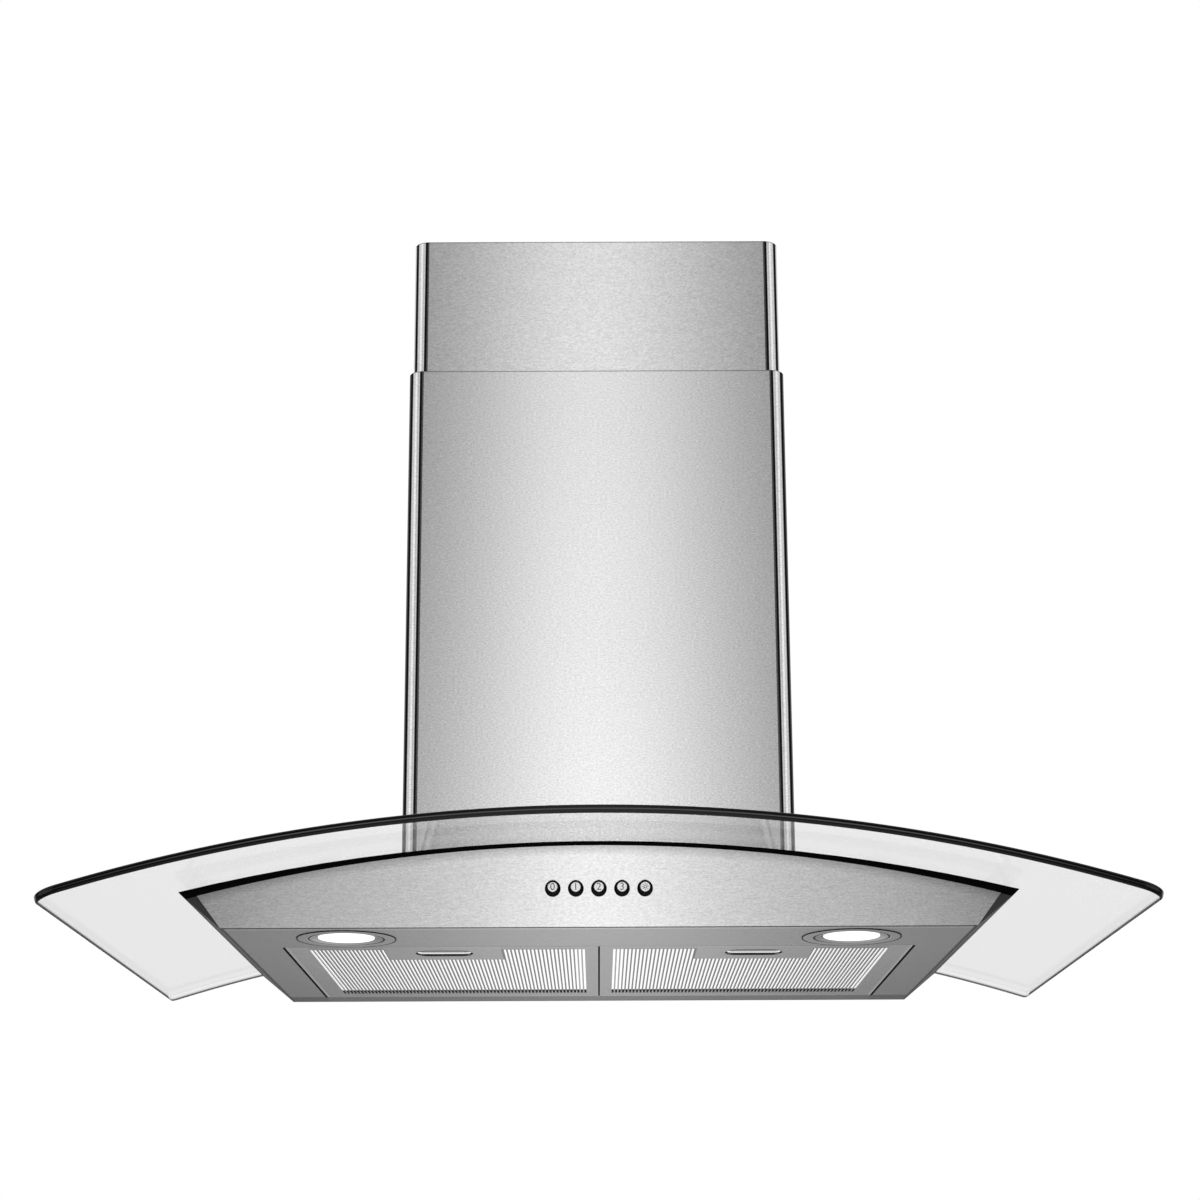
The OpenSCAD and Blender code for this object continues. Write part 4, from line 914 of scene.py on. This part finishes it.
slice_at(canopy, 1, (NOTCH_Y,))
edit(canopy, "FACE", lambda c, n: abs(c.x) < NOTCH_X and c.y > NOTCH_Y)
bpy.ops.mesh.delete(type="FACE")
done()
slice_at(canopy, 0, [flat_w * (i / SLICES - 0.5) for i in range(1, SLICES)])
modify(canopy, "SOLIDIFY", thickness=GLASS_T, offset=1.0)
modify(canopy, "BEVEL", width=GROUND_W, segments=5, limit_method="ANGLE", angle_limit=math.radians(50))
print("canopy", len(canopy.data.polygons), "faces, flat width", round(flat_w, 4))

# %% [markdown]
# ## The bend
# In the furnace the sheet sinks onto its mould and takes one even curve. The Simple Deform modifier bends
# about Z, so the sheet stands on its edge while it is bent.

# %% The canopy's bend
QUARTER = Matrix.Rotation(math.pi / 2, 4, "X")
moved(canopy, turn=QUARTER)
modify(canopy, "SIMPLE_DEFORM", deform_method="BEND", deform_axis="Z", angle=2 * half_angle)
moved(canopy, turn=QUARTER.inverted())
moved(canopy, to=(0, 0, CROWN_Z))
for name, size in (("canopy", canopy.dimensions), ("CAD glass", glass_high - glass_low)):
    print(name, [round(v, 4) for v in size], "m")


# %% [markdown]
# ## Holes for the canopy's screws
# Four screws hold the glass. Each hole is drilled square to the bent sheet, so its axis leans outwards by
# the same angle as the sheet does there. A leaning cylinder cuts each hole.

# %% Holes in the glass
SCREW_X, SCREW_Y, HOLE_R = 205 * MM, (-70 * MM, -320 * MM), 4.8 * MM
lean = math.asin(SCREW_X / BEND_R)
screw_places = [(side, y) for side in (-1, 1) for y in SCREW_Y]


def on_the_bend(piece, side, y):
    """Moves a piece from the origin to a place on the bend, leaning with the sheet"""
    return moved(piece, turn=Matrix.Rotation(side * lean, 4, "Y"),
                 to=(side * BEND_R * math.sin(lean), y, bend_centre + BEND_R * math.cos(lean)))


for side, y in screw_places:
    drill = start("drill", bpy.ops.mesh.primitive_cylinder_add, vertices=48, radius=HOLE_R, depth=30 * MM)
    cut_with(canopy, on_the_bend(drill, side, y))
print(len(screw_places), "holes, leaning", round(math.degrees(lean), 2), "degrees")

# %% [markdown]
# ## Finishes of the glass
# The large faces are clear. The front edge and the notch are ground, and the side and rear edges polished.
# Each face finds its finish from its place and direction. The shading stays sharp where two finishes meet.

# %% Finishes of the glass
LARGE_FACE, GROUND_EDGE, CLEAR_EDGE = 0, 1, 2
SQUARE_ON, SIDE_W, REAR_W = 0.985, 8 * MM, 6 * MM
canopy.data.materials.clear()
for finish in (canopy_glass, edge_glass, side_glass):
    canopy.data.materials.append(finish)
for face in canopy.data.polygons:
    outward = Vector((face.center.x, 0, face.center.z - bend_centre)).normalized()
    sideways = Vector((face.normal.x, 0, face.normal.z)).length
    at_side = abs(face.center.x) > glass_high.x - SIDE_W and sideways > SQUARE_ON
    if abs(face.normal.dot(outward)) > SQUARE_ON:
        face.material_index = LARGE_FACE
    elif at_side or face.center.y > -REAR_W:
        face.material_index = CLEAR_EDGE
    else:
        face.material_index = GROUND_EDGE
smooth(canopy, 30)
meeting = {}
for face in canopy.data.polygons:
    for key in face.edge_keys:
        meeting.setdefault(key, set()).add(face.material_index)
for an_edge in canopy.data.edges:
    if len(meeting[an_edge.key]) > 1:
        an_edge.use_edge_sharp = True
even_shading(canopy)
dress(canopy, None, "hood_body", "canopy_glass", "glass_canopy")
print("canopy", len(canopy.data.polygons), "faces")

# %% [markdown]
# ## Domed screws
# Each screw has a polished domed cap with a thin rim. Its outline is a half profile, turned about the axis.
# It ends in a tiny flat on top.

# %% Glass screws
CAP_R, DOME_Z, DOME_H, TOP_FLAT = 8.0, 8.7, 3.9, 0.4
dome = [(CAP_R, 7.2), (CAP_R, 8.6)] + [
    (CAP_R * math.cos(angle) if angle < 1.5 else TOP_FLAT, DOME_Z + DOME_H * math.sin(angle))
    for angle in map(math.radians, range(6, 91, 7))
]
domed_caps = join(*[on_the_bend(turned("screw_cap", dome, 48), side, y) for side, y in screw_places])
domed_caps.name = domed_caps.data.name = "domed_caps"
smooth(domed_caps, 40)
dress(domed_caps, FINISHES["chrome"], "hood_body", "chrome")
print(len(screw_places), "caps,", len(domed_caps.data.polygons), "faces")

# %% [markdown]
# ## The chimney
# Each half of the chimney is one folded sheet, open at the back, with two rounded front corners and a
# narrow return along each rear edge. A box loses its top, bottom and back, its front edges are rounded,
# the returns are extruded, and the shell gets its thickness.

# %% Chimney shells
SHEET_T, BROKEN_EDGE = 1.0 * MM, 0.25 * MM


def chimney_shell(name, box, low, fold):
    """box: the corners of the CAD part; low: the height of the foot; fold: how wide each return is"""
    half_w, front, back, high = box[1].x, box[0].y, box[1].y, box[1].z
    shell = start(name, bpy.ops.mesh.primitive_cube_add, size=1,
                  location=(0, (front + back) / 2, (low + high) / 2),
                  scale=(2 * half_w, back - front, high - low))
    edit(shell, "FACE", lambda c, n: abs(n.z) > 0.9 or n.y > 0.9)
    bpy.ops.mesh.delete(type="FACE")
    done()
    edit(shell, "EDGE", lambda a, b: same(a.x, b.x) and same(a.y, front) and same(b.y, front))
    bpy.ops.mesh.bevel(offset=CORNER_R, segments=12, affect="EDGES")
    done()
    for side in (-1, 1):
        edit(shell, "EDGE", lambda a, b: all(same(p.x, side * half_w) and same(p.y, back) for p in (a, b)))
        bpy.ops.mesh.extrude_edges_move(TRANSFORM_OT_translate={"value": (-side * fold, 0, 0)})
        done()
    outwards(shell)
    if next(f.normal.y for f in shell.data.polygons if same(f.center.y, front)) > 0:
        edit(shell)
        bpy.ops.mesh.flip_normals()
        done()
    modify(shell, "SOLIDIFY", thickness=SHEET_T, offset=-1.0, use_even_offset=True)
    return shell


def finish_edges(piece, width):
    """Breaks the sharp edges, as a file does, and keeps the flats flat when shaded"""
    modify(piece, "BEVEL", width=width, segments=2, limit_method="ANGLE", angle_limit=math.radians(40),
           use_clamp_overlap=True)
    smooth(piece, 50)
    even_shading(piece)


lower_box, upper_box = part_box("lower_chimney"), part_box("upper_chimney")
lower = chimney_shell("lower_shell", lower_box, up(40), 11 * MM)
upper = chimney_shell("upper_shell", upper_box, upper_box[0].z, 8.2 * MM)
print("two shells with", len(lower.data.polygons), "and", len(upper.data.polygons), "faces")

# %% [markdown]
# ## The foot of the chimney
# The lower shell is made too long. A large cylinder cuts its foot to the curve of the glass, with a small
# gap. The edges of both shells are broken last.

# %% The foot of the chimney
GAP_OVER_GLASS = 0.4 * MM
bend_tool = start("bend_tool", bpy.ops.mesh.primitive_cylinder_add, vertices=512, depth=0.8,
                  radius=BEND_R + GLASS_T + GAP_OVER_GLASS, location=(0, -0.2, bend_centre),
                  rotation=(math.pi / 2, 0, 0))
cut_with(lower, bend_tool)
for shell, body, node in ((lower, "hood_body", "lower_chimney"), (upper, "upper_chimney", "upper_chimney")):
    finish_edges(shell, BROKEN_EDGE)
    dress(shell, chimney_steel[node], body, "stainless", node)
    print(shell.name, len(shell.data.polygons), "faces")


# %% [markdown]
# ## Folded and punched sheets
# The front panel, the panel under the hood and the filter frames have many cut-outs in exact places, so
# they start as a copy of the CAD part. The copy's loose triangles are merged into whole faces, and its
# edges are broken with a small bevel, because a punched sheet never has a perfectly sharp edge.


# %% Softened copies
def softened(node, name, width):
    """A copy of a CAD part with whole faces and softly broken edges"""
    piece = frame["nodes"][node].copy()
    piece.data = frame["nodes"][node].data.copy()
    piece.animation_data_clear()
    piece.parent = None
    piece.matrix_world = Matrix.Identity(4)
    piece.name = piece.data.name = name
    scene.collection.objects.link(piece)
    piece.hide_render = piece.hide_viewport = False
    edit(piece)
    bpy.ops.mesh.remove_doubles(threshold=DOUBLES)
    bpy.ops.mesh.dissolve_limited(angle_limit=math.radians(0.6))
    done()
    finish_edges(piece, width)
    print(name, len(piece.data.polygons), "faces")
    return piece


for node, name, finish in (("front_fascia", "fascia_sheet", front_steel),
                           ("underside_panel", "under_sheet", underside_steel)):
    dress(softened(node, name, 0.3 * MM), finish, "hood_body", "stainless", node)


# %% [markdown]
# ## Push buttons
# A button is turned from one piece: a stem, a flange that keeps it behind the panel, a straight shaft, and
# a rounded shoulder that ends in a small flat face.

# %% Buttons
PANEL_Y, FACE_H = -398.47 * MM, 6.5 * MM
SHOULDER_R = 0.5
stem = [(1.8, -14.75), (1.8, -10.75)]
flange = [(6.4, -10.75), (6.4, -8.75), (5.2, -8.75)]
shaft = [(5.2, -0.8), (4.9, 0.7)]
shoulder = [(3.25 + SHOULDER_R * math.cos(angle), 6.0 + SHOULDER_R * math.sin(angle))
            for angle in map(math.radians, range(0, 91, 15))]


def push_button(which, x):
    button = turned("push_" + which, stem + flange + shaft + shoulder, 64)
    moved(button, turn=QUARTER, to=(x, PANEL_Y, BUTTON_Z))
    smooth(button, 50)
    even_shading(button)
    dress(button, FINISHES["button_chrome"], "button_" + which, "button_chrome", "button_" + which)


print("button faces at y", round(PANEL_Y - FACE_H, 4), "and z", round(BUTTON_Z, 4))

# %% [markdown]
# ## Signs on the buttons
# Each sign is a thin dark inlay. Four buttons carry a number, which starts as text and becomes a mesh. The
# lamp's button carries a ring with eight short rays.

# %% Signs on the buttons
SIGN_T = 0.03 * MM


def number_sign(name, number):
    bpy.ops.object.text_add(location=(0, 0, 0))
    sign = bpy.context.object
    sign.data.body = str(number)
    sign.data.size, sign.data.extrude, sign.data.offset = 7.4 * MM, SIGN_T, -0.03 * MM
    sign.data.align_x, sign.data.align_y = "CENTER", "CENTER"
    pick(sign)
    bpy.ops.object.convert(target="MESH")
    sign.name = sign.data.name = name
    bake_place(sign)
    return sign


def lamp_sign(name):
    sign = turned(name, [(1.25, 0.0), (1.25, 0.03), (0.8, 0.03), (0.8, 0.0), (1.25, 0.0)], 32)
    for number in range(8):
        ray = start("ray", bpy.ops.mesh.primitive_cube_add, size=1, location=(2.1 * MM, 0, SIGN_T / 2),
                    scale=(0.8 * MM, 0.4 * MM, SIGN_T))
        join(sign, moved(ray, turn=Matrix.Rotation(math.radians(45 * number), 4, "Z")))
    return sign


for number, which in enumerate(("off", "low", "medium", "high", "light")):
    x = (number - 2) * BUTTON_STEP
    push_button(which, x)
    sign = lamp_sign("mark_light") if which == "light" else number_sign("mark_" + which, number)
    moved(sign, turn=QUARTER, to=(x, PANEL_Y - FACE_H, BUTTON_Z))
    dress(sign, engraving, "button_" + which, "button_chrome")
    print("button", which, "at x", round(x, 4))


# %% [markdown]
# ## Lamps
# Each lamp is a pressed bezel with a groove and a turned rim, a milky lens, a reflector and a board. The
# bezel and the lens are turned about the lamp's axis. The other two keep their CAD shape.

# %% Lamps under the hood
bezel_profile = [
    (20.8, 0.8), (27.0, -0.3), (27.6, 0.6), (28.2, -0.3), (29.0, -0.5), (35.6, -0.5),  # face with a groove
    (35.9, -0.1), (36.2, -0.1), (36.4, -0.6), (36.8, -0.5), (36.8, -0.1),  # rim
    (30.6, -0.1), (30.6, 16), (29.4, 16), (29.4, 2.3), (20.8, 2.3), (20.8, 0.8),  # wall and inside
]
lens_profile = [(20.6, 0.3), (20.6, 2.4), (29.1, 2.4), (29.1, 4.4)]
for side, hand in ((-1, "left"), (1, "right")):
    centre = (side * LAMP_X, LAMP_Y, up(0))
    for name, profile, steps, edge, slot, node in (
            ("bezel_ring_", bezel_profile, 128, 0.15 * MM, "bezel_steel", "lamp_bezel_"),
            ("lens_disc_", lens_profile, 96, 0.2 * MM, "lamp_lens", "lamp_lens_")):
        piece = moved(turned(name + hand, profile, steps), to=centre)
        finish_edges(piece, edge)
        dress(piece, FINISHES[slot], "hood_body", slot, node + hand)
    print("lamp", hand, "at", [round(v, 4) for v in centre])


# %% [markdown]
# ## Grease filters
# Each filter is a slotted steel frame round a pack of fine aluminium mesh. Only slivers of the mesh show
# through the slots. They look bright, partly because its strands lean towards whoever looks up at the hood,
# and partly from a painted glow on their lower side. The mesh is one sheet with narrow folds that lean in
# the same way, and a rectangle cut out for the latch.

# %% Mesh behind the slots
FOLD_W, FOLD_H, FOLD_LEAN = 2.4 * MM, 2.0 * MM, 0.9
MESH_Z, STRAND_T = 0.4 * MM, 0.25 * MM


def folded_mesh(name, low, high, side):
    """low, high: the corners of the layer; side: -1 for the left filter, 1 for the right one"""
    rows = 2 * round((high.y - low.y) / FOLD_W)
    pitch = (high.y - low.y) / rows
    sheet = start(name, bpy.ops.mesh.primitive_grid_add, x_subdivisions=1, y_subdivisions=rows, size=1,
                  location=((low.x + high.x) / 2, (low.y + high.y) / 2, low.z + MESH_Z),
                  scale=(high.x - low.x, high.y - low.y, 1))
    edit(sheet, "VERT", lambda co: round((co.y - low.y) / pitch) % 2 == 1)
    bpy.ops.transform.translate(value=(0, FOLD_LEAN * pitch, FOLD_H))
    done()
    edit(sheet, "VERT", lambda co: co.y > high.y - 0.1 * pitch)
    bpy.ops.transform.translate(value=(0, -FOLD_LEAN * pitch, 0))
    done()
    modify(sheet, "SOLIDIFY", thickness=STRAND_T, offset=1.0)
    space = start("latch_space", bpy.ops.mesh.primitive_cube_add, size=1,
                  location=(side * sum(PLATE_X) / 2, low.y, low.z),
                  scale=(PLATE_X[1] - PLATE_X[0], 2 * (PLATE_REAR - low.y), 0.1))
    cut_with(sheet, space)
    outwards(sheet)
    return sheet


print("folds of", FOLD_W, "m")

# %% [markdown]
# ## Frame, mesh and latch
# Mesh faces that look up take the woven finish, the others the one with a painted glow. The slotted frame
# and the latch with its pull cup are softened copies. The latch slides, so it has a body of its own.

# %% Filters
LOOKS_UP = 0.02
for hand, side in (("left", -1), ("right", 1)):
    filter_body = "filter_" + hand
    layer = folded_mesh("mesh_layer_" + hand, *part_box("filter_mesh_" + hand), side)
    dress(layer, FINISHES["filter_aluminium"], filter_body, "filter_aluminium", "filter_mesh_" + hand)
    layer.data.materials.append(upper_mesh)
    for face in layer.data.polygons:
        face.material_index = int(face.normal.z > LOOKS_UP)
    print("mesh", hand, len(layer.data.polygons), "faces")
    plate = softened("filter_frame_" + hand, "slotted_plate_" + hand, 0.15 * MM)
    dress(plate, filter_steel, filter_body, "filter_steel", "filter_frame_" + hand)
    latch = softened("filter_latch_" + hand, "pull_latch_" + hand, 0.3 * MM)
    dress(latch, latch_steel, "latch_" + hand, "filter_steel", "filter_latch_" + hand)
